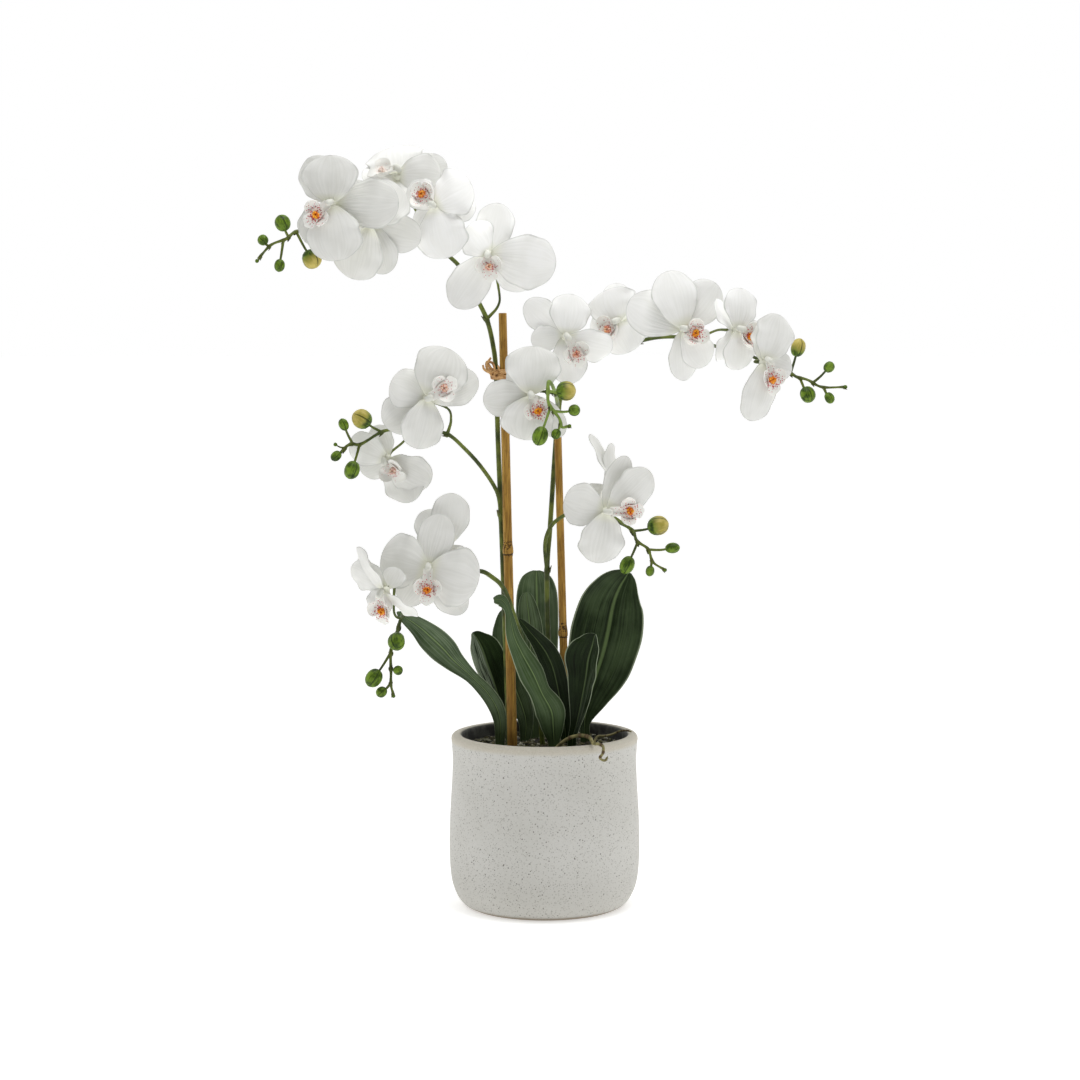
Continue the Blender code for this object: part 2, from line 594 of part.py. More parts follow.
def make_blade(name, centre, depth, facing, tip, lift, bow, stations, across):
    """Petal or sepal from the hub to its tip."""
    turn = tip[4] if len(tip) > 4 else 0
    end = seen(tip[0], tip[1], depth + tip[3])
    root = centre + facing * lift
    along = end - root
    out = turned_about(facing - along.normalized() * facing.dot(along.normalized()), along.normalized(), turn)
    out = out.normalized()
    middle = []
    halves = []
    for share in stations:
        middle.append(root + along * share + out * (bow * along.length * math.sin(math.pi * share)))
        halves.append(max(tip[2] / 2 * spread(share), 1.9))
    return blade(name, middle, halves, [out] * len(middle), [-CUP * half for half in halves],
                 BLADE_THICK, across)


def make_bloom(number, bloom, home, colour):
    """White part of a bloom: two round petals before three sepals, on a small hub."""
    centre, facing = bloom_frame(bloom)
    depth = bloom[2][2]
    pieces = [ball("hub", centre, (2 * HUB_RADIUS, 2 * HUB_RADIUS), facing, 1)]
    for i, tip in enumerate(bloom[5]):
        pieces.append(make_blade(f"petal_{i}", centre, depth, facing, tip, ROOT_LIFT, PETAL_BOW,
                                 PETAL_STATIONS, 3))
    for i, tip in enumerate(bloom[6]):
        pieces.append(make_blade(f"sepal_{i}", centre, depth, facing, tip, -ROOT_LIFT, SEPAL_BOW,
                                 SEPAL_STATIONS, 2))
    return finish(fuse(f"bloom_{number:02d}", pieces), home, colour, 60)


def make_lip(number, bloom, home, colour):
    """Lip with a middle lobe and two raised side lobes, and the column over it."""
    centre, facing = bloom_frame(bloom)
    root = centre + facing * (HUB_RADIUS + 0.35 + LIP_ROOT)
    level = root + facing * LIP_RISE
    near, far = seen(*bloom[4], -250), seen(*bloom[4], 50)
    spot = near.lerp(far, (level - near).dot(facing) / (far - near).dot(facing)) - level
    down = spot.normalized()
    reach = min(max(spot.length, LIP_REACH[0]), LIP_REACH[1])
    column = root - down * 1.6 + facing * 2.0
    pieces = [ball("column", column, (5.4, COLUMN_LENGTH), (facing - down * 0.4).normalized(), 1)]
    middle = [root + down * (reach * row[1] + row[0]) + facing * row[4] for row in LIP_STATIONS]
    halves = [row[2] for row in LIP_STATIONS]
    cups = [row[3] for row in LIP_STATIONS]
    pieces.append(blade("lobes", middle, halves, [facing] * len(middle), cups, LIP_THICK, 2))
    return finish(fuse(f"lip_{number:02d}", pieces), home, colour, 60)


def make_leaf(number, leaf, home, colour, holes):
    """Leathery leaf folded along its midrib, with its foot in the mix."""
    stations, turn, fold = leaf
    foot = seen(*stations[0][:3])
    line = [Vector((foot.x, foot.y, SOIL_TOP - LEAF_SUNK)), Vector((foot.x, foot.y, SOIL_TOP + 0.5))]
    line += [seen(*station[:3]) for station in stations[1:]]
    halves = [LEAF_FOOT, LEAF_FOOT] + [station[3] for station in stations[1:]]
    facings = []
    for i in range(len(line)):
        along = (line[min(i + 1, len(line) - 1)] - line[max(i - 1, 0)]).normalized()
        share = min(1.0, i / 4)
        facings.append(turned_about(Vector((0, -1, 0.15)), along, turn * share))
    made = blade(f"leaf_{number}", line, halves, facings, [fold * half for half in halves],
                 LEAF_THICK, 2)
    holes.append((line[0], line[1], math.hypot(LEAF_FOOT, LEAF_THICK) + 2 * GAP))
    return finish(made, home, colour, 50)


def make_root(name, home, colour, holes):
    """Aerial root that leaves the mix and hangs over the rim."""
    points, radius = ROOTS[name]
    line = stand([seen(*p) for p in points], LEAF_SUNK)
    line = [line[0]] + smooth(line[1:], 2)
    count = len(line) - 1
    radii = [radius * (1 - 0.4 * i / count) for i in range(count + 1)]
    holes.append((line[0], line[1], radius + GAP))
    return finish(rod(name, line, radii, 0), home, colour, 60)


def main():
    """Build the pot, the plant and the canes."""
    for thing in list(bpy.data.objects):
        bpy.data.objects.remove(thing)
    home = bpy.data.collections.new("potted_moth_orchid")
    bpy.context.scene.collection.children.link(home)
    paint = {name: material(name) for name in COLOURS}
    feet = []
    make_pot(home, paint["stoneware"])
    for name in CANES:
        make_cane(name, home, paint["cane"], feet)
    make_tie(home, paint["raffia"])
    for name in SPIKES:
        make_stem(name, home, paint["stem"], feet)
    for number, leaf in enumerate(LEAVES, 1):
        make_leaf(number, leaf, home, paint["leaf"], feet)
    for name in ROOTS:
        make_root(name, home, paint["root"], feet)
    for number, bloom in enumerate(BLOOMS, 1):
        make_bloom(number, bloom, home, paint["petal"])
        make_lip(number, bloom, home, paint["lip"])
    holes = []
    for low, high, radius in feet:
        slant = (high - low) * ((SOIL_TOP - low.z) / (high.z - low.z))
        drift = math.hypot(slant.x, slant.y)
        middle = low + slant / 2
        holes.append((middle.x, middle.y, radius + drift / 2, SOIL_TOP - low.z + GAP))
    make_soil(home, paint["mix"], holes)


main()
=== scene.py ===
# %% [markdown]
# # A moth orchid in a stoneware pot
# The plant has nine leathery leaves, three flower spikes with eighteen white blooms and bud sprays, and two
# bamboo canes that hold the spikes up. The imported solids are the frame: they give the place and the size of
# every piece, and each piece below stands where its solid stands. All work is in metres, +Z is up and the
# front looks towards -Y, while the lists of measures are in millimetres.

import functools
import math

import bmesh
import bpy
import numpy as np
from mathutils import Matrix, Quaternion, Vector
from mathutils.geometry import intersect_point_line


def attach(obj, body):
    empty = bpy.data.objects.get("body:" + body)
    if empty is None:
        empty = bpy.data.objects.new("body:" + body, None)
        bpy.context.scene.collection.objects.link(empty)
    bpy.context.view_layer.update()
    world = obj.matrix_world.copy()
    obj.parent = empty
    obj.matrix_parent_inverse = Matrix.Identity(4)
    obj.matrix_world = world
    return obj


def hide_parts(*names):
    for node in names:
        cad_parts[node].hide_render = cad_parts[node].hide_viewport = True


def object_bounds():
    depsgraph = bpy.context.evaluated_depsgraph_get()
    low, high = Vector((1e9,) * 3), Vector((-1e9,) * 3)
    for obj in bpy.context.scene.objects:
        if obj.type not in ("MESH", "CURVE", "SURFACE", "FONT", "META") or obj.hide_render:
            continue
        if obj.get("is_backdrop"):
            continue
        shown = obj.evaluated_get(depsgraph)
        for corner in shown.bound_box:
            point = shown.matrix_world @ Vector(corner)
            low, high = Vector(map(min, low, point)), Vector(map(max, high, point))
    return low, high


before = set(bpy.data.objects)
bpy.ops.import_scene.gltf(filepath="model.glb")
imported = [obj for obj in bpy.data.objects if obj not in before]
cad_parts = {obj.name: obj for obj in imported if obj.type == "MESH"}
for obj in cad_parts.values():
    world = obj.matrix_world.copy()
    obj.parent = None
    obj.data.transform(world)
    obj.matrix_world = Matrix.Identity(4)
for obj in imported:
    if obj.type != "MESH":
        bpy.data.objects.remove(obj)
cad_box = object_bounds()
print("solids in the frame:", len(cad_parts))

# %% [markdown]
# ## The view that the plant was measured from
# A flower spike is a free line in space. It could be measured with a rule from three sides, but only one side
# of this plant is known, so each spot is kept as two steps of the front view, across and down, and a depth
# behind the pot's axis. One function turns the three numbers into a place. The camera stands at the same
# point, so that the view it takes and the measures agree.

# %% View
MM = 0.001
EYE = Vector((-4.0, -2300.0, 526.0))
EYE_DIP = math.radians(4.96)
EYE_STEPS = 2611.0
EYE_MIDDLE = 540.0
SENSOR = 36.0


def seen(across, down, depth):
    """Place, in mm, at a spot of the front view and a depth behind the pot's axis."""
    u = (across - EYE_MIDDLE) / EYE_STEPS
    v = (EYE_MIDDLE - down) / EYE_STEPS
    ray = Vector((u, math.cos(EYE_DIP) + v * math.sin(EYE_DIP), v * math.cos(EYE_DIP) - math.sin(EYE_DIP)))
    return EYE + ray * ((depth - EYE.y) / ray.y)


def steps_to_mm(depth):
    """Size of one step of the view at a depth."""
    return (depth - EYE.y) / EYE_STEPS


def smooth(points, steps):
    """Points of a smooth line through the given points."""
    ends = [points[0] * 2 - points[1]] + points + [points[-1] * 2 - points[-2]]
    line = []
    for i in range(1, len(ends) - 2):
        a, b, c, d = ends[i - 1:i + 3]
        for j in range(steps):
            t = j / steps
            line.append(0.5 * (2 * b + (c - a) * t + (2 * a - 5 * b + 4 * c - d) * t * t
                               + (3 * b - a - 3 * c + d) * t ** 3))
    return line + [points[-1]]


def nearest(line, place):
    """Nearest point of a line of places."""
    best = None
    for a, b in zip(line, line[1:]):
        spot, share = intersect_point_line(place, a, b)
        spot = a if share < 0 else b if share > 1 else spot
        if best is None or (spot - place).length < (best - place).length:
            best = spot
    return best


def turned_about(vector, axis, degrees):
    """A vector turned about an axis."""
    return Quaternion(axis, math.radians(degrees)) @ vector


eye = bpy.data.objects.new("camera", bpy.data.cameras.new("camera"))
bpy.context.scene.collection.objects.link(eye)
eye.location = EYE * MM
eye.rotation_euler = (math.pi / 2 - EYE_DIP, 0, 0)
eye.data.sensor_width = SENSOR
eye.data.lens = SENSOR * EYE_STEPS / (2 * EYE_MIDDLE)
eye.data.clip_end = 100
bpy.context.scene.camera = eye
print("camera at", tuple(round(c, 3) for c in eye.location), "lens", round(eye.data.lens, 1))

# %% [markdown]
# ## Measures of the plant
# These are the same spots, widths and depths that the solids were made from, so the fine pieces fall on them.
# They are plain lists because a grower's plant follows no formula: each spike was bent by hand to its cane.

# %% Measures
# Top of the potting mix, and how deep stems, leaves and canes stand in it
SOIL_TOP = 141.5
STEM_SUNK = 14.0
LEAF_SUNK = 9.0
CANE_SUNK = 60.0
# Pot and potting mix, in mm: outer profile from the lip down, then the inner wall up from the floor
POT_OUTER = [
    (78.5, 154.0), (81.4, 153.2), (82.8, 150.4), (82.3, 144.0), (81.6, 130.0), (82.4, 110.0),
    (84.0, 84.0), (84.7, 58.0), (84.3, 38.0), (82.4, 22.0), (78.0, 10.0), (72.6, 3.0), (67.0, 0.0),
]
POT_INNER = [(62.0, 12.0), (71.0, 22.0), (74.4, 50.0), (73.4, 100.0), (72.6, 147.0), (73.8, 152.6)]
# Bamboo canes: foot, top, radius at the foot and at the top, place of the knuckle along the cane
CANES = {
    "cane_left": ((512.5, 747, -17), (502.6, 313, -24), 4.5, 3.5, 0.526),
    "cane_right": ((566, 744, 3), (557.5, 420, -4), 3.7, 3.2, 0.452),
}
# Flower spikes: the first row of each stem stands in the mix, the others branch from it
SPIKES = {
    "stem_left": [
        [(509, 745, -5), (504, 600, -10), (501, 515, -13), (498, 440, -13), (496, 372, -15),
         (493, 345, -15), (487, 320, -16), (476, 297, -18), (461, 269, -22), (450, 257, -25),
         (425, 235, -30), (398, 222, -36), (368, 216, -45), (335, 222, -58), (308, 230, -78),
         (295, 232, -90), (286, 239, -96), (271, 245, -98), (258, 259, -98)],
        [(501, 515, -13), (497, 492, -16), (482, 468, -25), (464, 448, -37), (447, 434, -46),
         (425, 431, -55), (405, 430, -63), (384, 431, -71), (361, 444, -78), (350, 444, -80),
         (340, 453, -83)],
    ],
    "stem_low": [
        [(543, 744, -14), (538, 700, -19), (528, 660, -27), (518, 628, -34), (505, 591, -41),
         (492, 577, -46), (478, 571, -50), (455, 577, -56), (430, 592, -62), (410, 606, -70),
         (402, 616, -77), (397, 632, -86), (391, 650, -92), (391, 672, -96), (391, 685, -98),
         (393.5, 695, -98)],
    ],
    "stem_right": [
        [(552, 744, 5), (548, 640, 7), (547, 571, 7), (550, 528, 7), (554, 466, 8), (557, 425, 8),
         (560, 400, 6), (566, 372, 2), (585, 353, -2), (612, 350, -6), (640, 341, -12),
         (663, 337, -18), (690, 338, -24), (711, 345, -30), (740, 352, -38), (770, 364, -48),
         (790, 373, -57), (797, 377, -62), (808, 380, -66), (822, 387, -70), (845, 387, -74)],
        [(547, 571, 7), (545, 545, 0), (550, 528, -9), (560, 518, -15), (575, 512, -16),
         (600, 515, -17), (622, 524, -30), (633, 531, -46), (637, 541, -53), (648, 549, -57),
         (653, 562, -60), (665, 570, -60)],
        [(557, 410, 8), (557.5, 404, -28), (556.5, 398, -66), (554.5, 391, -98), (551.5, 384, -115),
         (548.5, 382, -122), (548, 391, -125), (549, 404, -124), (559, 418, -124), (562, 427, -124),
         (569, 426, -124)],
    ],
}
# Radii of a spike at its foot and its tip, and of the stalk of a bloom
SPIKE_FOOT = 2.3
SPIKE_TIP = 0.9
STALK_RADIUS = 1.3

# Buds: row of the stem, spot of the seat on it, centre with its depth, width and length in the view
BUDS = {
    "stem_left": [
        (0, (289, 236), (282.5, 223, -97), 17, 16), (0, (269, 246), (263, 240, -97), 11, 11),
        (0, (284, 241), (279.4, 265.5, -99), 11, 13), (0, (303, 232), (311.7, 259, -94), 20, 20),
        (1, (384, 431), (361.8, 419, -80), 21, 20), (1, (353, 443), (343.6, 424.5, -81), 10, 13),
        (1, (343, 449), (336, 456, -84), 12, 10), (1, (345, 447), (335.4, 444.5, -83), 4, 4),
        (1, (361, 444), (351.8, 470, -84), 16, 19), (0, (260, 256), (257, 261, -98), 4, 4),
    ],
    "stem_low": [
        (0, (401, 618), (396.5, 641.4, -98), 18, 20), (0, (390, 652), (373.7, 678, -97), 17, 20),
        (0, (391, 668), (398, 670.4, -98), 10, 10), (0, (391, 683), (381.5, 692, -98), 11, 12),
        (0, (393, 694), (393.5, 696, -98), 4, 4),
    ],
    "stem_right": [
        (0, (788, 372), (798, 347.5, -62), 15, 19), (0, (798, 377), (807.6, 394.6, -68), 17, 16),
        (0, (812, 381), (829, 367, -74), 12, 11), (0, (823, 387), (829.4, 398, -74), 12, 10),
        (0, (844, 387), (845, 387, -74), 4, 5), (1, (629, 527), (658, 525.6, -50), 22, 20),
        (1, (637, 541), (627, 565, -56), 15, 19), (1, (652, 560), (650, 571, -62), 9, 11),
        (1, (648, 549), (672.5, 548, -60), 15, 11), (1, (664, 569), (665, 570, -60), 4, 4),
        (2, (548, 391), (566, 391, -124), 20, 20), (2, (554, 411), (574.3, 410.3, -126), 12, 12),
        (2, (549, 408), (540, 436, -126), 16, 20), (2, (561, 424), (556, 434, -125), 10, 11),
        (2, (568, 426), (569.5, 426, -124), 4, 4),
    ],
}

# Blooms: stem and row, centre, facing, spot of the lip, two petals and three sepals.
# Each blade: tip across, tip down, width in mm, lean of the tip away from the front in mm, turn.
BLOOMS = [
    ("stem_left", 0, (332, 204, -110), (-0.3, -1, 0), (316, 215),
     [(330, 155, 50, -2), (338, 261, 50, -4)],
     [(399, 203, 42, -8), (308, 158, 36, 14), (305, 242, 36, 12)]),
    ("stem_left", 0, (370, 224, -76), (-0.35, -0.9, 0.1), (350, 228),
     [(400, 186, 46, -4), (352, 279, 48, 0)],
     [(421, 240, 32, 0), (386, 274, 32, 4), (347, 182, 32, 8)]),
    ("stem_left", 0, (398, 177, -48), (-0.2, -0.6, 0.75), (382, 171),
     [(393, 147, 52, 22), (441, 176, 38, -2, 50)],
     [(447, 164, 30, 6, 50), (362, 172, 30, 4), (404, 203, 30, -10)]),
    ("stem_left", 0, (436, 206, -72), (-0.45, -0.85, 0.2), (422, 194),
     [(471, 183, 46, -8), (448, 258, 50, -4)],
     [(476, 208, 26, -2), (409, 185, 28, 12), (414, 235, 28, 12)]),
    ("stem_left", 0, (489, 254, -52), (-0.1, -0.95, -0.2), (489, 266),
     [(556, 266, 48, -4), (468, 226, 40, -10, 45)],
     [(499, 203, 34, 6), (454, 307, 36, 4), (528, 288, 30, 6)]),
    ("stem_left", 1, (427, 398, -90), (0.35, -0.9, 0.1), (444, 388),
     [(450, 349, 50, 4), (417, 449, 38, -2)],
     [(478, 378, 34, 16), (384, 425, 36, -2), (391, 381, 36, -4)]),
    ("stem_left", 1, (388, 458, -54), (-0.2, -0.85, -0.4), (390, 468),
     [(430, 484, 40, 0), (350, 440, 34, 0)],
     [(412, 502, 38, 6), (361, 472, 28, 6), (374, 426, 26, 6)]),
    ("stem_low", 0, (428, 568, -112), (0.05, -1, 0.05), (427, 590),
     [(381, 556, 48, 0), (478, 584, 52, 0)],
     [(442, 514, 32, 8), (402, 604, 28, 8), (464, 613, 30, 8)]),
    ("stem_low", 0, (446, 546, -79), (0.2, -1, 0.1), (446, 556),
     [(453, 493, 34, 4), (421, 512, 30, 2)],
     [(467, 568, 24, 2), (414, 550, 20, 2), (450, 588, 24, 0)]),
    ("stem_low", 0, (386, 590, -138), (-0.5, -0.75, -0.4), (382, 611),
     [(357, 547, 42, 0, -30), (418, 616, 36, -8, 32)],
     [(351, 567, 34, 10), (398, 568, 22, 6), (373, 613, 24, 14)]),
    ("stem_right", 0, (565, 336, -55), (0.3, -0.9, -0.2), (576, 354),
     [(572, 294, 38, 0), (612, 350, 34, 6, 25)],
     [(526, 301, 28, 0), (531, 341, 24, 0), (572, 384, 34, 6)]),
    ("stem_right", 0, (620, 322, -36), (-0.5, -0.8, 0), (609, 328),
     [(606, 290, 50, 0), (630, 352, 42, -6)],
     [(616, 283, 30, 10, 50), (645, 338, 30, -6), (590, 330, 26, 12)]),
    ("stem_right", 0, (683, 329, -60), (0.2, -0.95, 0), (693, 332),
     [(667, 271, 40, 2), (706, 366, 30, 4)],
     [(628, 302, 40, 2), (716, 283, 38, 8), (684, 381, 26, 10)]),
    ("stem_right", 0, (736, 330, -71), (0.6, -0.8, 0), (747, 333),
     [(741, 288, 38, 2), (738, 370, 36, 2)],
     [(715, 300, 30, -6, 35), (716, 360, 30, -6, -35), (764, 336, 24, 14)]),
    ("stem_right", 0, (763, 362, -98), (0.5, -0.85, 0), (772, 380),
     [(780, 315, 40, 6), (750, 421, 34, -4)],
     [(766, 324, 26, 12), (757, 404, 24, 10), (792, 370, 26, 16)]),
    ("stem_right", 2, (531, 395, -106), (0.1, -0.95, -0.1), (538, 411),
     [(534, 346, 48, 2), (524, 440, 46, 0)],
     [(483, 401, 32, 0), (563, 436, 24, 8), (512, 366, 24, 10)]),
    ("stem_right", 1, (606, 511, -82), (0.35, -0.9, 0), (630, 511),
     [(596, 563, 42, 0), (651, 472, 34, 10)],
     [(564, 500, 38, -4), (627, 456, 24, 8), (611, 552, 22, 10)]),
    ("stem_right", 1, (611, 488, -42), (0.1, -1, 0.1), (614, 498),
     [(590, 434, 30, 0, 65), (641, 488, 30, 0)],
     [(611, 443, 28, 0, 60), (583, 503, 24, 2), (630, 511, 22, 4)]),
]
# Bends of the stalks that don't go straight from the stem to the bloom, by bloom
STALK_BENDS = {
    2: [(424, 224, -30), (416, 211, -34), (407, 199, -36)],
    4: [(490, 318, -16), (498, 306, -20), (499, 291, -24)],
    5: [(448, 433, -46), (451, 420, -54), (447, 408, -64)],
    6: [(409, 431, -62), (404, 441, -56)],
    9: [(405, 612, -74), (400, 618, -92), (394, 612, -108)],
    13: [(698, 340, -27), (708, 334, -36), (718, 330, -48)],
}
# Hub of a bloom, and how far its petals stand before its middle and its sepals behind it
HUB_RADIUS = 4.6
ROOT_LIFT = 2.2
# How far petals and sepals bow to the front and cup to the back, as shares of length and half width
PETAL_BOW = 0.10
SEPAL_BOW = 0.01
CUP = 0.10
# Lip: how far it starts before the hub, how high its lobes stand, and how far down its callus may be
LIP_ROOT = 1.66
LIP_RISE = 4.0
LIP_REACH = (9.0, 18.0)
# Leaves: stations from the foot to the tip, each with its half width in mm, then turn in degrees and fold
LEAVES = [
    ([(554, 743, -30, 4), (553, 727, -34, 10.5), (551, 711, -40, 13.5), (541.5, 693, -46, 10.0),
      (533, 674, -52, 11.6), (521.5, 653, -60, 8.6), (513.5, 635, -68, 6.3), (508.5, 611, -75, 3.2),
      (502, 600.5, -79, 5.4), (494, 600, -83, 2.4)], 18, -0.3),
    ([(566, 741, -6, 4), (564, 722, -6, 6.5), (560, 700, -7, 9.3), (554, 672, -10, 10.2),
      (547, 654.5, -12.5, 10.0), (538, 641.5, -15, 7.6), (529.5, 631.5, -17, 5.3), (519, 619, -18, 0.8)],
     10, 0.25),
    ([(572, 739, -20, 3.6), (577, 722, -21, 5.4), (581.5, 702, -24, 9.8), (586, 678, -30, 15.0),
      (588.5, 660, -36, 19.5), (592.5, 646, -41, 15.0), (594, 639, -43, 9.6), (595.5, 634, -44, 0.8)],
     -40, 0.5),
    ([(585, 738, 6, 4), (585, 719, 9, 7.0), (589, 699, 12, 17.5), (596, 675, 17, 28.0),
      (602.5, 655, 20, 31.0), (608, 632, 25, 32.5), (613, 606, 29, 29.0), (619, 589, 30, 21.5),
      (629, 572, 30, 3.0)], -8, 0.3),
    ([(544, 740, 34, 4), (541, 702, 44, 10.0), (539, 668, 53, 16.0), (537.5, 636, 62, 19.0),
      (537, 600, 71, 19.0), (536.5, 581, 77, 15.0), (536.5, 570.5, 80, 3.0)], 0, 0.3),
    ([(534, 740, 23, 4), (532, 700, 28, 8.5), (531, 665, 36, 12.0), (530, 632, 45, 11.8),
      (528.5, 613, 50, 9.6), (527, 601, 53, 7.0), (526.6, 592, 56, 1.0)], 0, 0.32),
    ([(525, 742, 12, 4), (526, 722, 14, 6.8), (522, 706, 16, 9.4), (514, 684, 20, 11.0),
      (508.5, 658, 25, 12.8), (506, 636, 30, 12.4), (505, 622, 33, 9.0), (504, 609, 36, 1.0)], 0, 0.32),
    ([(511, 742, 6, 4), (506, 722, 7, 6.5), (499.5, 700, 8, 10.5), (493, 681, 9, 14.5), (487, 664, 12, 17.0),
      (481.5, 648, 16, 15.0), (476.5, 638, 18, 8.0), (472.5, 632.5, 19, 0.8)], 30, 0.45),
    ([(500, 742, -9, 4), (500.5, 723, -12, 5.6), (496.5, 707, -15, 6.9), (486, 691, -20, 6.6),
      (470, 675, -27, 6.0), (454, 660.5, -34, 9.4), (443, 648.5, -40, 12.4), (431, 637, -47, 12.2),
      (417, 625, -56, 8.4), (397, 612, -65, 0.8)], -10, 0.3),
]
LEAF_THICK = 2.0
LEAF_FOOT = 4.0
# Aerial roots: from the mix at the stem's foot over the rim
ROOTS = {
    "root_curled": ([(550, 743, -43), (563, 742, -47), (572, 737, -52), (583, 735.5, -58), (590, 738, -66),
                     (593, 743.5, -75), (598, 744, -83), (603, 746.5, -88), (603, 753, -91),
                     (600, 758, -90), (605, 760.5, -91), (608, 756, -91)], 1.7),
    "root_rim": ([(592, 742, -14), (597, 737, -6), (605, 736, -2), (613, 734, 0), (620, 731, 0),
                  (627, 730.5, 0), (632, 732, 0)], 1.2),
}

print("blooms:", len(BLOOMS), "leaves:", len(LEAVES), "buds:", sum(len(row) for row in BUDS.values()))

# %% [markdown]
# ## Closed bodies from grids of places
# A petal or a leaf is a thin sheet with two faces. Solidify could thicken a single sheet, but it gives every
# edge the same thickness. Here both faces are laid out as grids, so the sheet can thin out towards its edge,
# and a rim joins them. Round bodies such as buds are rings about an axis. A body also carries painted values,
# such as how far along a petal a place lies, and the finishes read them by name.

# %% Bodies
def add_object(name, data):
    """Object of a mesh, lamp or camera, in the scene's own collection."""
    made = bpy.data.objects.new(name, data)
    bpy.context.scene.collection.objects.link(made)
    return made


def mesh_of(name, places, faces, edges=(), **painted):
    """Mesh of places in mm, with a painted value or way for each place."""
    mesh = bpy.data.meshes.new(name)
    mesh.from_pydata((np.array(places, float) * MM).tolist(), edges, faces)
    for key, numbers in painted.items():
        numbers = np.array(numbers, np.float32)
        kind, field = ("FLOAT", "value") if numbers.ndim == 1 else ("FLOAT_VECTOR", "vector")
        mesh.attributes.new(key, kind, "POINT").data.foreach_set(field, numbers.ravel())
    return mesh


@functools.lru_cache(maxsize=None)
def sheet_faces(rows, columns):
    """Faces of a closed sheet: a front grid, a back grid after it, and the rim between them."""
    index = np.arange(rows * columns).reshape(rows, columns)
    back = rows * columns
    faces = []
    for i in range(rows - 1):
        for j in range(columns - 1):
            a, b, c, d = index[i, j], index[i, j + 1], index[i + 1, j + 1], index[i + 1, j]
            faces.append((a, b, c, d))
            faces.append((d + back, c + back, b + back, a + back))
    rim = [*index[0, :], *index[1:, -1], *index[-1, -2::-1], *index[-2:0:-1, 0]]
    for a, b in zip(rim, rim[1:] + rim[:1]):
        faces.append((b, a, a + back, b + back))
    return [tuple(int(i) for i in face) for face in faces]


@functools.lru_cache(maxsize=None)
def ring_faces(rows, sides):
    """Faces of rings that close on themselves."""
    faces = []
    for i in range(rows - 1):
        for j in range(sides):
            k = (j + 1) % sides
            faces.append((i * sides + j, i * sides + k, (i + 1) * sides + k, (i + 1) * sides + j))
    return faces


def rings(profile, sides, centre=(0, 0, 0), axis=(0, 0, 1)):
    """Round body about an axis: each station has its height along it and its radius."""
    axis = Vector(axis).normalized()
    across = axis.orthogonal().normalized()
    angle = np.arange(sides) * 2 * math.pi / sides
    circle = np.outer(np.cos(angle), across) + np.outer(np.sin(angle), axis.cross(across))
    places = [np.array(centre) + np.array(axis) * height + circle * radius for height, radius in profile]
    return np.concatenate(places), ring_faces(len(profile), sides)


class Body:
    """Places in mm, faces and painted values of a piece while it is being made."""

    def __init__(self):
        self.places = []
        self.faces = []
        self.values = {}
        self.count = 0

    def add(self, places, faces, **values):
        """Add a closed shell. Each painted value is one number, or one for each place."""
        self.places.append(places)
        self.faces += [tuple(i + self.count for i in face) for face in faces]
        for key, value in values.items():
            self.values.setdefault(key, []).append(np.broadcast_to(value, len(places)))
        self.count += len(places)

    def add_sheet(self, front, back, **values):
        """Add a closed sheet of two grids. A value fits the grid, or is a pair for its front and its back."""
        shape = front.shape[:2]
        for key, value in values.items():
            pair = value if isinstance(value, tuple) else (value, value)
            values[key] = np.ravel([np.broadcast_to(part, shape) for part in pair])
        places = np.concatenate([front.reshape(-1, 3), back.reshape(-1, 3)])
        self.add(places, sheet_faces(*shape), **values)

    def mesh(self, name):
        """One mesh of all the shells."""
        painted = {key: np.concatenate(parts) for key, parts in self.values.items()}
        return mesh_of(name, np.concatenate(self.places), self.faces, **painted)


BOX_SLACK = 0.00002
MERGE_REACH = 1e-6


def close_up(mesh, angle):
    """Merge doubled places, turn the faces outwards and shade the mesh smooth up to an angle in degrees."""
    shell = bmesh.new()
    shell.from_mesh(mesh)
    bmesh.ops.remove_doubles(shell, verts=shell.verts, dist=MERGE_REACH)
    bmesh.ops.recalc_face_normals(shell, faces=shell.faces)
    shell.to_mesh(mesh)
    shell.free()
    mesh.shade_smooth()
    mesh.set_sharp_from_angle(angle=math.radians(angle))


def pull_inside(mesh):
    """Pull in places that stand a hair out of the box of the solids."""
    places = np.empty(len(mesh.vertices) * 3, np.float32)
    mesh.vertices.foreach_get("co", places)
    low, high = (np.array(corner) for corner in cad_box)
    places = np.clip(places.reshape(-1, 3), low + BOX_SLACK, high - BOX_SLACK)
    mesh.vertices.foreach_set("co", places.astype(np.float32).ravel())
    mesh.update()


def settle(piece, slot, *nodes):
    """A finished piece is pulled inside the solids' box, rides on the frame and stands for its solids; its
    slot is not used.
    """
    pull_inside(piece.data)
    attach(piece, "root")
    if nodes:
        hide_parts(*nodes)
    return piece


def make_piece(name, body, finish, slot, node, angle):
    """Piece of a body, with its finish."""
    mesh = body.mesh(name)
    close_up(mesh, angle)
    mesh.materials.append(finish)
    return settle(add_object(name, mesh), slot, node)


# %% [markdown]
# ## Shader maths as Python sums
# A finish is a small program that runs at every point of a surface. Joining its nodes by hand hides the
# maths, so a wrapper round a node's output takes part in sums, and each sum adds its Math node.

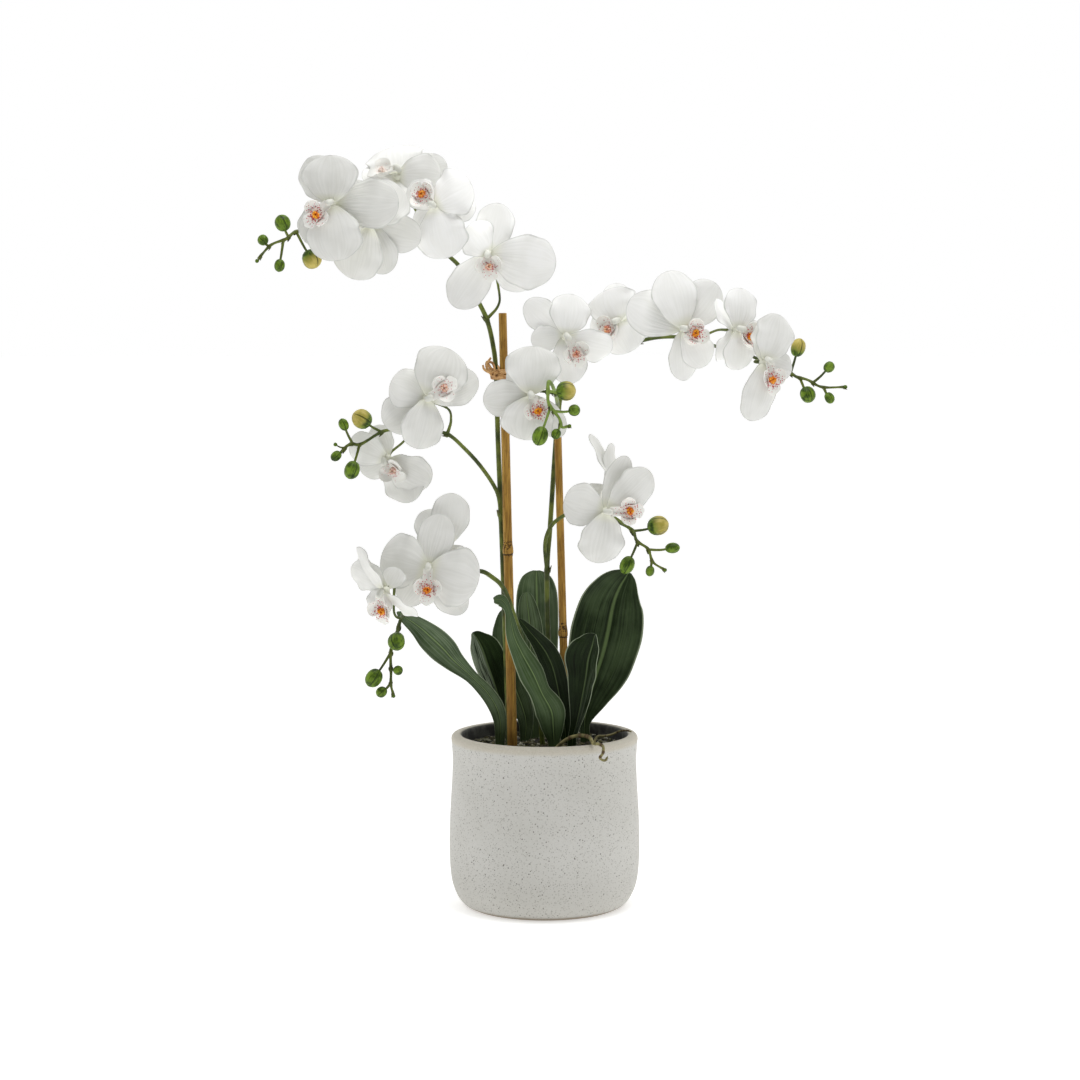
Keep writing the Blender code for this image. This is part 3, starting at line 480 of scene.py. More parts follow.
# %% Shader sums
class Value:
    """Output of a shader node that takes part in sums."""

    def __init__(self, paint, socket):
        self.paint = paint
        self.socket = socket

    def join(self, operation, first, second=0.0):
        """The sum of two numbers, or of a place and a number."""
        if self.socket.type == "VECTOR":
            inputs = {0: first, 1: (second,) * 3}
            return self.paint.add("ShaderNodeVectorMath", {"operation": operation}, inputs)
        return self.paint.add("ShaderNodeMath", {"operation": operation}, {0: first, 1: second})

    def __add__(self, other):
        return self.join("ADD", self, other)

    def __radd__(self, other):
        return self.join("ADD", other, self)

    def __sub__(self, other):
        return self.join("SUBTRACT", self, other)

    def __rsub__(self, other):
        return self.join("SUBTRACT", other, self)

    def __mul__(self, other):
        return self.join("MULTIPLY", self, other)

    def __pow__(self, other):
        return self.join("POWER", self, other)

    def __gt__(self, other):
        return self.join("GREATER_THAN", self, other)

    def __abs__(self):
        return self.join("ABSOLUTE", self)

    def least(self, other):
        """The smaller of two values."""
        return self.join("MINIMUM", self, other)

    def wave(self):
        """Sine of the value."""
        return self.join("SINE", self)


def feed(tree, socket, value):
    """Feed a socket with a node's output or a plain value."""
    value = value.socket if isinstance(value, Value) else value
    if isinstance(value, bpy.types.NodeSocket):
        tree.links.new(value, socket)
    else:
        socket.default_value = value


def add_node(tree, kind, settings=None, inputs=None):
    """Any node: its kind, its settings, and what its sockets are fed."""
    node = tree.nodes.new(kind)
    for key, value in (settings or {}).items():
        setattr(node, key, value)
    for key, value in (inputs or {}).items():
        feed(tree, node.inputs[key], value)
    return node


class Paint:
    """A finish while it is being mixed."""

    def __init__(self, name, **sockets):
        self.material = bpy.data.materials.new(name)
        self.material.use_nodes = True
        self.tree = self.material.node_tree
        self.shader = self.tree.nodes["Principled BSDF"]
        for key, value in sockets.items():
            self.set(key.replace("_", " ").title().replace("Ior", "IOR"), value)

    def set(self, socket, value):
        """Feed one of the shader's sockets."""
        feed(self.tree, self.shader.inputs[socket], value)

    def add(self, kind, settings=None, inputs=None, output=0):
        """One output of any node."""
        return Value(self, add_node(self.tree, kind, settings, inputs).outputs[output])

    def spot(self, *scale):
        """Place on the piece, stretched along each axis."""
        place = self.add("ShaderNodeTexCoord", output="Object")
        return self.add("ShaderNodeVectorMath", {"operation": "MULTIPLY"}, {0: place, 1: scale or (1, 1, 1)})

    def axes(self, place):
        """The three numbers of a place."""
        node = add_node(self.tree, "ShaderNodeSeparateXYZ", None, {0: place})
        return [Value(self, socket) for socket in node.outputs]

    def painted(self, name):
        """Painted value of the piece."""
        return self.add("ShaderNodeAttribute", {"attribute_name": name}, output="Fac")

    def point(self, x, y, z):
        """Place made of three numbers."""
        return self.add("ShaderNodeCombineXYZ", None, {0: x, 1: y, 2: z})

    def noise(self, place, scale, detail=2.0, rough=0.5):
        """Cloudy noise from 0 to 1."""
        inputs = {"Vector": place, "Scale": scale, "Detail": detail, "Roughness": rough}
        return self.add("ShaderNodeTexNoise", None, inputs)

    def cells(self, place, scale, output="Distance"):
        """Distance to the nearest of scattered points, or its random colour."""
        return self.add("ShaderNodeTexVoronoi", None, {"Vector": place, "Scale": scale}, output)

    def dots(self, place, scale, size, rarity):
        """Small round dots, of which a share is left out."""
        chance = self.axes(self.cells(place, scale, "Color"))[0]
        return (1 - self.ramp(self.cells(place, scale), size * 0.6, size)) * (chance > rarity)

    def ramp(self, value, low, high):
        """Soft step from 0 at low to 1 at high."""
        inputs = {"Value": value, "From Min": low, "From Max": high}
        return self.add("ShaderNodeMapRange", {"interpolation_type": "SMOOTHSTEP"}, inputs)

    def mix(self, share, first, second):
        """Colour between two colours."""
        return self.add("ShaderNodeMix", {"data_type": "RGBA"}, {0: share, 6: first, 7: second}, 2)

    def bump(self, height, depth, strength):
        """Raise the surface by a height, given its full depth in mm."""
        inputs = {"Height": height, "Distance": depth * MM, "Strength": strength}
        self.set("Normal", self.add("ShaderNodeBump", None, inputs))


def rgb(red, green, blue):
    """Colour as seen on a screen, from 0 to 255, in the linear light that a shader takes."""
    linear = []
    for part in (red, green, blue):
        part = part / 255
        linear.append(part / 12.92 if part <= 0.04045 else ((part + 0.055) / 1.055) ** 2.4)
    return (*linear, 1.0)


# %% [markdown]
# ## Stoneware
# The pot is thrown stoneware with a matt, pale grey-beige glaze. Iron in the clay burns through as fine dark
# specks, thicker towards the foot. The lip is wiped bare, so it is warmer, and the inside wall is painted a
# dark grey as painted shade, for the shade that fills the pot.
# The specks are cells of two sizes cut off near their middles, so each is a small round dot of its own.

# %% Stoneware finish
RIM_LINE = 148.0
POT_TOP = 154.0
WALL_INSIDE = (73.6, 75.4)


def stoneware():
    paint = Paint("stoneware_glaze", roughness=0.75)
    place = paint.spot()
    x, y, height = paint.axes(place * 1000)
    cloud = paint.noise(place, 14, 3)
    grain = paint.noise(place, 1100, 3, 0.7)
    glaze = paint.mix(paint.ramp(cloud, 0.3, 0.7), rgb(206, 205, 199), rgb(212, 211, 206))
    glaze = paint.mix(paint.ramp(grain, 0.45, 0.75) * 0.5, glaze, rgb(180, 177, 168))
    low = 1 - paint.ramp(height, 20.0, 130.0)
    foot_shade = 1 - paint.ramp(height, 4.0, 60.0)
    glaze = paint.mix(foot_shade * 0.35, glaze, rgb(172, 169, 160))
    fine = paint.dots(place, 540, 0.3, 0.12 - low * 0.1)
    coarse = paint.dots(place, 260, 0.18, 0.45 - low * 0.2)
    glaze = paint.mix(fine * 0.6, glaze, rgb(124, 120, 110))
    glaze = paint.mix(coarse * 0.85, glaze, rgb(78, 72, 62))
    clay = paint.mix(paint.ramp(grain, 0.35, 0.75), rgb(206, 201, 188), rgb(190, 184, 168))
    wobble = paint.noise(place, 60, 2) * 1.6
    bare = paint.ramp(height + wobble, RIM_LINE - 1.5, RIM_LINE + 2.5)
    colour = paint.mix(bare, glaze, clay)
    # Painted shade: the inside wall is painted a mottled dark grey, for the shade inside the pot
    inner = (1 - paint.ramp((x * x + y * y) ** 0.5, *WALL_INSIDE)) * paint.ramp(height, 5.0, 10.0)
    inner_shade = paint.mix(paint.ramp(paint.noise(place, 120, 4), 0.42, 0.66), rgb(42, 42, 38), rgb(78, 78, 73))
    colour = paint.mix(inner, colour, inner_shade)
    foot = 1 - paint.ramp(height + wobble * 0.5, 2.0, 5.0)
    paint.set("Base Color", paint.mix(foot * 0.8, colour, rgb(132, 118, 96)))
    paint.set("Roughness", 0.7 + grain * 0.18)
    dimple = paint.noise(place, 260, 3)
    paint.bump(grain * 0.3 + dimple * 0.7 - fine * 0.3 - coarse * 0.5, 0.4, 0.5)
    return paint.material


STONEWARE = stoneware()
print("finish:", STONEWARE.name)

# %% [markdown]
# ## The pot
# A potter pulls a lip, a slight waist and a round foot in one turn of the wheel. A Screw modifier would turn
# the profile too; rings about the axis do the same and keep the profile in sight. The spots of the profile
# are joined by a smooth curve, so the wall has no facets.

# %% Pot
POT_TURNS = 160
POT_FINE = 5
LIP_INSIDE = 75.2


def wall_line(spots):
    """Smooth profile through spots of radius and height, as heights and radii."""
    return [(p.y, p.x) for p in smooth([Vector((radius, height, 0)) for radius, height in spots], POT_FINE)]


def make_pot():
    inside = wall_line(POT_INNER + [(LIP_INSIDE, POT_TOP)])
    profile = [(POT_INNER[0][1], 0.0)] + inside + wall_line(POT_OUTER) + [(0.0, 0.0)]
    body = Body()
    body.add(*rings(profile, POT_TURNS))
    return make_piece("pot_stoneware", body, STONEWARE, "stoneware", "pot", 60)


pot = make_pot()
print("pot faces:", len(pot.data.polygons))

# %% [markdown]
# ## Potting mix
# Moth orchids grow in bark. The top of the mix is a dark, crumbly surface, heaped a little towards the
# middle, with chips of bark lying on it every way round. The surface is a disc of rings with a noisy height;
# the chips are one small chip scattered over it by Geometry Nodes, because scattering, turning and sizing
# many copies is what those nodes do best. Some chips are bleached pale, and moss tints a few patches.

# %% Mix finish
def bark(name, dark, light, rough):
    paint = Paint(name, roughness=rough)
    place = paint.spot()
    grain = paint.noise(place, 340, 4, 0.65)
    tone = paint.painted("tone")
    colour = paint.mix(paint.ramp(grain + tone * 0.5, 0.45, 1.0), dark, light)
    colour = paint.mix((tone > 0.86) * paint.ramp(grain, 0.35, 0.5), colour, rgb(176, 174, 156))
    moss = paint.ramp(paint.noise(place, 70, 2) + tone * 0.08, 0.62, 0.72)
    paint.set("Base Color", paint.mix(moss * 0.5, colour, rgb(84, 88, 44)))
    paint.set("Roughness", rough + grain * 0.1)
    paint.bump(grain, 0.8, 0.8)
    return paint.material


MIX = bark("bark_mix", rgb(16, 14, 9), rgb(52, 46, 32), 0.85)
CHIPS = bark("bark_chips", rgb(24, 22, 14), rgb(106, 102, 66), 0.75)

# %% Mix surface
MIX_RADIUS = 71.6
MIX_RINGS = 40
MIX_TURNS = 120
MIX_HEAP = 4.5
MIX_DROP = 2.0
MIX_PLAY = 0.3
MIX_TONE = 0.2
BUMP_SEED = 5


def mix_level(radius):
    """Height of the mix at a distance from the pot's axis."""
    return SOIL_TOP + MIX_HEAP - MIX_DROP * (radius / MIX_RADIUS) ** 2


def bumps(places):
    """Gentle rise and fall over the mix, from a few waves with fixed phases."""
    draw = np.random.default_rng(BUMP_SEED)
    total = np.zeros(len(places))
    for scale in (0.09, 0.17, 0.31, 0.55):
        for _ in range(3):
            turn = draw.uniform(0, 2 * math.pi)
            shift = draw.uniform(0, 2 * math.pi)
            way = places[:, 0] * math.cos(turn) + places[:, 1] * math.sin(turn)
            total += np.sin(way * scale + shift) * 0.09 / scale ** 0.5
    return total


def make_mix():
    top = [(mix_level(r) - 0.8, r) for r in np.linspace(0, MIX_RADIUS, MIX_RINGS)]
    wall = [(z, r - MIX_PLAY) for r, z in reversed(POT_INNER) if z < SOIL_TOP - MIX_DROP - 2]
    places, faces = rings(top + wall + [(POT_INNER[0][1] + MIX_PLAY, 0.0)], MIX_TURNS)
    upper = places[:MIX_RINGS * MIX_TURNS]
    fade = np.clip((MIX_RADIUS - np.hypot(upper[:, 0], upper[:, 1])) / 6, 0, 1)
    upper[:, 2] += bumps(upper) * fade
    body = Body()
    body.add(places, faces, tone=MIX_TONE)
    return make_piece("potting_mix", body, MIX, "mix", "soil", 60)


mix = make_mix()
print("mix faces:", len(mix.data.polygons))

# %% [markdown]
# ## Trees of geometry nodes
# Geometry Nodes copy or sweep shapes over a mesh that carries painted values. A tree is built once, with
# named inputs, and runs with other inputs on each piece; what comes out is a plain mesh with its finish.

# %% Geometry trees
class Tree:
    """Geometry Nodes tree with named inputs, and a short way to add its nodes."""

    def __init__(self, name, **sockets):
        self.tree = bpy.data.node_groups.new(name, "GeometryNodeTree")
        panel = self.tree.interface
        panel.new_socket("Geometry", in_out="INPUT", socket_type="NodeSocketGeometry")
        panel.new_socket("Geometry", in_out="OUTPUT", socket_type="NodeSocketGeometry")
        self.names = {}
        for label, kind in sockets.items():
            made = panel.new_socket(label, in_out="INPUT", socket_type="NodeSocket" + kind)
            self.names[label] = made.identifier
        self.start = self.tree.nodes.new("NodeGroupInput")

    def __getitem__(self, label):
        return self.start.outputs[label]

    def add(self, kind, inputs=None, settings=None, output=0):
        """One output of any node."""
        return add_node(self.tree, kind, settings, inputs).outputs[output]

    def painted(self, label, kind="FLOAT"):
        """Painted value of the places."""
        return self.add("GeometryNodeInputNamedAttribute", {0: label}, {"data_type": kind})

    def pattern(self):
        """Shape of the object to copy."""
        return self.add("GeometryNodeObjectInfo", {"Object": self["Pattern"]}, output="Geometry")

    def copies(self, points, size, turn):
        """Copies of the pattern on points."""
        turn = self.add("FunctionNodeEulerToRotation", {0: turn})
        inputs = {"Points": points, "Instance": self.pattern(), "Scale": size, "Rotation": turn}
        return self.add("GeometryNodeInstanceOnPoints", inputs)

    def end(self, geometry):
        """Make the instances real, give them their finish and close the tree."""
        real = self.add("GeometryNodeRealizeInstances", {0: geometry})
        done = self.add("GeometryNodeSetMaterial", {"Geometry": real, "Material": self["Finish"]})
        add_node(self.tree, "NodeGroupOutput", None, {0: done})
        return self


def grow(source, tree, **inputs):
    """Run a tree on an object, and put the plain mesh that it gives in the object's place."""
    run = source.modifiers.new("grow", "NODES")
    run.node_group = tree.tree
    for label, value in inputs.items():
        run[tree.names[label]] = value
    bpy.context.view_layer.update()
    depsgraph = bpy.context.evaluated_depsgraph_get()
    mesh = bpy.data.meshes.new_from_object(source.evaluated_get(depsgraph))
    name = source.name
    bpy.data.objects.remove(source)
    return add_object(name, mesh)


# %% Scattered chips
CHIP_SEED = 11
CHIP_DENSITY = 62000.0
CHIP_SIZES = (0.7, 0.5, 0.6), (3.6, 2.2, 2.6)
CHIP_LEAN = 0.55
CHIP_SIDES = 7
CHIP_PROFILE = [(-0.5, 0.0), (-0.42, 0.7), (-0.1, 1.0), (0.25, 0.85), (0.45, 0.5), (0.5, 0.0)]
CLEAR_OF_WALL = 4.0
GROUND_TURNS = 48


def scatter_tree():
    """Copies of a pattern scattered over a surface, each with its own turn, size and tone."""
    tree = Tree("scatter", Density="Float", Seed="Int", Pattern="Object", Smallest="Vector",
                Largest="Vector", Finish="Material")
    points = tree.add("GeometryNodeDistributePointsOnFaces",
                      {"Mesh": tree["Geometry"], "Density": tree["Density"], "Seed": tree["Seed"]})
    ways = {"data_type": "FLOAT_VECTOR"}
    lean = {0: (-CHIP_LEAN, -CHIP_LEAN, 0.0), 1: (CHIP_LEAN, CHIP_LEAN, 6.28), "Seed": tree["Seed"]}
    turn = tree.add("FunctionNodeRandomValue", lean, ways)
    sizes = {0: tree["Smallest"], 1: tree["Largest"], "Seed": tree["Seed"]}
    size = tree.add("FunctionNodeRandomValue", sizes, ways)
    tone = tree.add("FunctionNodeRandomValue", {"Seed": tree["Seed"]}, output=1)
    toned = {"Geometry": tree.copies(points, size, turn), "Name": "tone", "Value": tone}
    return tree.end(tree.add("GeometryNodeStoreNamedAttribute", toned,
                             {"data_type": "FLOAT", "domain": "INSTANCE"}))


def chip_pattern():
    """One chip of bark: a flat, broken lump about a millimetre thick."""
    places, faces = rings(CHIP_PROFILE, CHIP_SIDES)
    draw = np.random.default_rng(3)
    places[CHIP_SIDES:-CHIP_SIDES, :2] *= draw.uniform(0.75, 1.25, (len(places) - 2 * CHIP_SIDES, 1))
    mesh = mesh_of("chip_pattern", places, faces)
    close_up(mesh, 30)
    return add_object("chip_pattern", mesh)


def make_chips():
    """Bark chips over the mix, kept clear of the pot's wall."""
    radii = np.linspace(0, MIX_RADIUS - CLEAR_OF_WALL, 16)
    places, faces = rings([(mix_level(r), r) for r in radii], GROUND_TURNS)
    places[:, 2] += bumps(places) - 0.4
    ground = add_object("bark_chips", mesh_of("bark_chips", places, faces[GROUND_TURNS:]))
    pattern = chip_pattern()
    made = grow(ground, scatter_tree(), Density=CHIP_DENSITY, Seed=CHIP_SEED, Pattern=pattern,
                Smallest=CHIP_SIZES[0], Largest=CHIP_SIZES[1], Finish=CHIPS)
    bpy.data.objects.remove(pattern)
    return settle(made, "mix")


chips = make_chips()
print("chip faces:", len(chips.data.polygons))


# %% [markdown]
# ## Rods along a path
# Canes, spikes, stalks, roots and raffia are all rods that follow a line and change in thickness. One small
# Geometry Nodes tree makes them: it turns a chain of edges into a curve, sizes a circle by a painted value
# at each place, and sweeps it along. Ends are filled, so each rod is closed.

# %% Sweep
def sweep_tree():
    tree = Tree("sweep", Sides="Int", Finish="Material")
    curve = tree.add("GeometryNodeMeshToCurve", {0: tree["Geometry"]})
    circle = tree.add("GeometryNodeCurvePrimitiveCircle", {"Resolution": tree["Sides"], "Radius": 1.0})
    return tree.end(tree.add("GeometryNodeCurveToMesh", {
        "Curve": curve, "Profile Curve": circle, "Scale": tree.painted("thick"), "Fill Caps": True}))


SWEEP = sweep_tree()


def sweep(name, rods, sides, finish):
    """Rods in one mesh. Each has its line, radii and tones, place by place, and whether it is closed."""
    places = []
    edges = []
    for line, _, _, closed in rods:
        first = len(places)
        places += line
        edges += [(i, i + 1) for i in range(first, len(places) - 1)]
        if closed:
            edges.append((len(places) - 1, first))
    thick = np.concatenate([radii for _, radii, _, _ in rods]) * MM
    tones = np.concatenate([tone for _, _, tone, _ in rods])
    mesh = mesh_of(name, places, [], edges, thick=thick, tone=tones)
    made = grow(add_object(name, mesh), SWEEP, Sides=sides, Finish=finish)
    close_up(made.data, 50)
    return made


def stand(line, sunk):
    """A line that starts in the mix, with its foot taken straight down to a depth."""
    foot = Vector((line[0].x, line[0].y, SOIL_TOP - sunk))
    brow = Vector((line[0].x, line[0].y, SOIL_TOP + 1.0))
    return [foot, brow] + line[1:]


print("tree inputs:", ", ".join(SWEEP.names))

# %% [markdown]
# ## Bamboo canes
# A cane is a straight length of bamboo: tapering a little, golden, with lengthwise fibres and a raised
# knuckle where a leaf sheath once sat. The dark ring and the scar at the knuckle are painted by a tone along
# the rod, and the fibres are noise stretched along the height.

# %% Cane finish
def bamboo():
    paint = Paint("bamboo_skin", roughness=0.5, specular_ior_level=0.15)
    fibre = paint.noise(paint.spot(1, 1, 0.03), 1500, 3, 0.6)
    broad = paint.noise(paint.spot(1, 1, 0.12), 160, 2)
    place = paint.spot()
    tone = paint.painted("tone")
    colour = paint.mix(paint.ramp(broad, 0.35, 0.65), rgb(150, 112, 48), rgb(196, 154, 74))
    colour = paint.mix(paint.ramp(fibre, 0.42, 0.68) * 0.8, colour, rgb(98, 68, 26))
    blotch = paint.ramp(paint.noise(place, 240, 3), 0.58, 0.7)
    colour = paint.mix(blotch * 0.3, colour, rgb(104, 70, 30))
    scar = paint.ramp(tone + (paint.noise(place, 620, 2) - 0.5) * 1.6, 0.42, 0.6)
    paint.set("Base Color", paint.mix(scar * 0.9, colour, rgb(42, 28, 16)))
    paint.set("Roughness", 0.4 + fibre * 0.25)
    paint.bump(fibre, 0.25, 0.5)
    return paint.material


BAMBOO = bamboo()

# %% Canes
CANE_SIDES = 28
KNUCKLE_SWELL = 0.8
# The knuckle: mm along the cane from its place, swelling and how much of a scar is painted there
KNUCKLE_MARKS = [(-6.0, 0.0, 0.0), (-3.0, 0.0, 0.15), (-1.6, 0.1, 0.25), (-0.7, 0.4, 0.4), (-0.2, 0.3, 1.0),
                 (0.3, 0.35, 1.0), (0.8, 0.8, 0.35), (2.5, 0.95, 0.25), (5.0, 0.85, 0.4), (7.5, 0.45, 0.5),
                 (9.5, 0.15, 0.5), (12.5, 0.0, 0.4), (15.0, 0.0, 0.2), (18.0, 0.0, 0.0)]
# The cut at the top: mm before the end, swelling and scar
CUT_MARKS = [(-0.8, 0.0, 0.1), (-0.25, -0.15, 0.3), (0.0, -0.5, 0.4)]


def make_cane(name, node):
    """Cane with its knuckle and a clean cut at the top."""
    foot, top, thick, thin, knuckle = CANES[node]
    start, end = seen(*foot), seen(*top)
    lean = (end - start) / (end.z - start.z)
    base = start + lean * (SOIL_TOP - CANE_SUNK - start.z)
    length = (end - base).length
    stations = [(share, 0.0, 0.0) for share in (0.0, 0.15, 0.3, 0.4)]
    stations += [(knuckle + shift / length, extra, mark) for shift, extra, mark in KNUCKLE_MARKS]
    stations += [(share, 0.0, 0.0) for share in (0.7, 0.85)]
    stations += [(1 + shift / length, extra, mark) for shift, extra, mark in CUT_MARKS]
    line = [base.lerp(end, share) for share, _, _ in stations]
    radii = [thick + (thin - thick) * share + extra * KNUCKLE_SWELL for share, extra, _ in stations]
    marks = [mark for _, _, mark in stations]
    return settle(sweep(name, [(line, radii, marks, False)], CANE_SIDES, BAMBOO), "cane", node)


canes = [make_cane("bamboo_left", "cane_left"), make_cane("bamboo_right", "cane_right")]
print("cane faces:", sum(len(cane.data.polygons) for cane in canes))

# %% [markdown]
# ## Stem finish
# Spikes are olive green with a slight bloom of wax, darker and browner at the joints and the bracts. The tone
# painted on each rod tells the finish how near a joint is, and a tone below nothing is young, bright green.

# %% Stem finish
def stem_skin():
    paint = Paint("spike_skin", roughness=0.5, specular_ior_level=0.35)
    place = paint.spot()
    grain = paint.noise(paint.spot(1, 1, 0.15), 900, 3)
    cloud = paint.noise(place, 60, 3)
    tone = paint.painted("tone")
    colour = paint.mix(paint.ramp(cloud, 0.35, 0.65), rgb(56, 69, 20), rgb(106, 118, 44))
    colour = paint.mix(paint.ramp(tone, -0.1, -0.4), colour, rgb(128, 152, 66))
    colour = paint.mix(paint.ramp(grain, 0.48, 0.75) * 0.6, colour, rgb(38, 46, 12))
    colour = paint.mix(paint.ramp(tone + cloud * 0.3, 0.6, 1.1) * 0.7, colour, rgb(62, 50, 28))
    paint.set("Base Color", colour)
    paint.set("Roughness", 0.42 + grain * 0.2)
    paint.bump(grain, 0.2, 0.5)
    return paint.material


STEM = stem_skin()

# %% [markdown]
# ## Flower spikes and stalks
# Each spike rises from the mix and arches over. Side branches and stalks leave it at joints, which swell a
# little and carry a small pointed bract. A subdivided mesh could give one skin over all of it, but a joint on
# a real spike is a clear step, so overlapping rods with swellings read better and stay light.

# %% Spikes
SPIKE_FINE = 10
SPIKE_SIDES = 12
BRANCH_SHARE = 0.8
JOINT_SWELL = 0.45
JOINT_REACH = 3.0
FAT_BUD = 6.0
# Rows of a stem that are still young and bright green
YOUNG_ROWS = [("stem_right", 2)]
YOUNG_TONE = -0.5
# Buds that have ripened to ochre, by their spots
RIPE_BUDS = [(311.7, 259), (361.8, 419), (798, 347.5), (566, 391), (658, 525.6)]


def row_line(name, row, fine=1):
    """Line of one row of a stem, standing in the mix where it is the first, with straight or rounded runs."""
    line = [seen(*p) for p in SPIKES[name][row]]
    if row == 0:
        line = stand(line, STEM_SUNK)
        return [line[0]] + smooth(line[1:], fine)
    return smooth(line, fine)


def bloom_frame(bloom):
    """Centre and facing of a bloom."""
    return seen(*bloom[2]), Vector(bloom[3]).normalized()


def stalk_path(number, bloom, lines):
    """Stalk from the spike to the back of a bloom."""
    centre, facing = bloom_frame(bloom)
    back = centre - facing * (HUB_RADIUS - 2.0)
    bends = [seen(*p) for p in STALK_BENDS.get(number, [])]
    root = nearest(lines[bloom[1]], bends[0] if bends else centre - facing * 18)
    bend = centre - facing * min(12, 0.5 * (root - centre).length)
    path = [root] + (bends[1:] or [root.lerp(bend, 0.6) + Vector((0, 0, 1.5))]) + [bend, back]
    return smooth(path, 6)


def stalk_rods(name, lines):
    """Stalk of each bloom of a stem, thickest at its root."""
    rods = []
    for number, bloom in enumerate(BLOOMS):
        if bloom[0] == name:
            path = stalk_path(number, bloom, lines)
            shares = [i / (len(path) - 1) for i in range(len(path))]
            radii = [STALK_RADIUS * (1.35 - 0.55 * math.sin(math.pi * share ** 0.8)) for share in shares]
            rods.append((path, radii, [0.4 * (1 - share) for share in shares], False))
    return rods


def bud_spots(name, lines):
    """Seat on the row, centre, width and length in mm, ripeness and row of each bud of a stem."""
    spots = []
    for row, seat, spot, wide, tall in BUDS[name]:
        centre = seen(*spot)
        root = nearest(lines[row], seen(*seat, spot[2]))
        scale = steps_to_mm(spot[2])
        ripe = 1.0 if spot[:2] in RIPE_BUDS else 0.0
        spots.append((root, centre, min(wide, tall) * scale, max(wide, tall) * scale, ripe, row))
    return spots


def bud_rods(name, lines):
    """Thin stalk of each bud of a stem."""
    rods = []
    for root, centre, wide, _, _, row in bud_spots(name, lines):
        path = smooth([root, root.lerp(centre, 0.5) + Vector((0, 0, -1.0)), centre], 5)
        ends = (1.25, 0.85) if wide > FAT_BUD else (0.9, 0.5)
        tones = (YOUNG_TONE, YOUNG_TONE) if (name, row) in YOUNG_ROWS else (0.5, 0.0)
        rods.append((path, np.linspace(*ends, len(path)), np.linspace(*tones, len(path)), False))
    return rods


def row_rod(name, row, line, joints):
    """Spike or branch that thins towards its end and swells at its joints."""
    thick = SPIKE_FOOT * (1.0 if row == 0 else BRANCH_SHARE)
    radii = []
    tones = []
    for i, place in enumerate(line):
        share = i / (len(line) - 1)
        near = min((place - joint).length for joint in joints)
        swell = math.exp(-(near / JOINT_REACH) ** 2)
        radii.append(thick + (SPIKE_TIP - thick) * share ** 1.5 + JOINT_SWELL * swell)
        tones.append(YOUNG_TONE * min(1, 3 * share) if (name, row) in YOUNG_ROWS else 0.7 * swell)
    return line, radii, tones, False


def make_stem(name):
    """Spike with its branches, the stalks of its blooms and those of its buds, its lines and its joints."""
    lines = [row_line(name, row, SPIKE_FINE) for row in range(len(SPIKES[name]))]
    sides = stalk_rods(name, lines) + bud_rods(name, lines)
    joints = [line[0] for line in lines[1:]] + [path[0] for path, _, _, _ in sides]
    rods = [row_rod(name, row, line, joints) for row, line in enumerate(lines)]
    made = sweep("spike_" + name.split("_")[1], rods + sides, SPIKE_SIDES, STEM)
    return settle(made, "stem", name), lines, joints


spikes = {name: make_stem(name) for name in SPIKES}
print("spike faces:", {name: len(made.data.polygons) for name, (made, _, _) in spikes.items()})

# %% [markdown]
# ## Buds
# A bud is three closed sepals: an egg with three faint seams, pointed at the end and green, and the fat ones
# have ripened to ochre towards their ends. One egg is copied onto painted points, each with its own turn,
# size and ripeness, by a tree that reads them by name.

# %% Bud finish
def bud_skin():
    paint = Paint("bud_skin", specular_ior_level=0.22)
    place = paint.spot()
    seam = paint.painted("seam")
    ripe = paint.painted("ripe")
    along = paint.painted("along")
    cloud = paint.noise(place, 170, 3)
    streak = paint.noise(paint.point(seam * 9, along * 1.5, ripe * 3), 1.6, 3)
    tone = cloud * 0.5 + streak * 0.5
    green = paint.mix(paint.ramp(tone, 0.38, 0.62), rgb(40, 64, 6), rgb(118, 148, 42))
    ochre = paint.mix(paint.ramp(tone, 0.4, 0.62), rgb(196, 180, 98), rgb(160, 150, 66))
    colour = paint.mix(ripe * paint.ramp(along + cloud * 0.4, 0.42, 0.9), green, ochre)
    colour = paint.mix(paint.ramp(seam, 0.75, 0.95) * 0.85, colour, rgb(26, 42, 6))
    paint.set("Base Color", colour)
    paint.set("Roughness", 0.38 + cloud * 0.15)
    paint.bump(streak, 0.3, 0.5)
    return paint.material


BUD = bud_skin()

# %% Bud copies
BUD_SIDES = 18
BUD_PROFILE = [(-0.5, 0.0), (-0.49, 0.1), (-0.455, 0.22), (-0.38, 0.34), (-0.25, 0.44), (-0.1, 0.49),
               (0.05, 0.5), (0.2, 0.465), (0.33, 0.385), (0.42, 0.27), (0.475, 0.14), (0.497, 0.05),
               (0.5, 0.0)]


def bud_pattern():
    """One bud, a millimetre long, with its seams and its length painted on."""
    places, faces = rings(BUD_PROFILE, BUD_SIDES)
    angle = np.arctan2(places[:, 1], places[:, 0])
    seam = (0.5 + 0.5 * np.cos(3 * angle)) ** 3
    places[:, :2] *= (1 - 0.07 * seam)[:, None]
    return mesh_of("bud_pattern", places, faces, seam=seam, along=places[:, 2] + 0.5)


def copies_tree():
    """Copies of a pattern on points, with the turn and size painted on each point."""
    tree = Tree("copies", Pattern="Object", Finish="Material")
    points = tree.add("GeometryNodeMeshToPoints", {0: tree["Geometry"]})
    size, turn = (tree.painted(label, "FLOAT_VECTOR") for label in ("size", "turn"))
    return tree.end(tree.copies(points, size, turn))


COPIES = copies_tree()


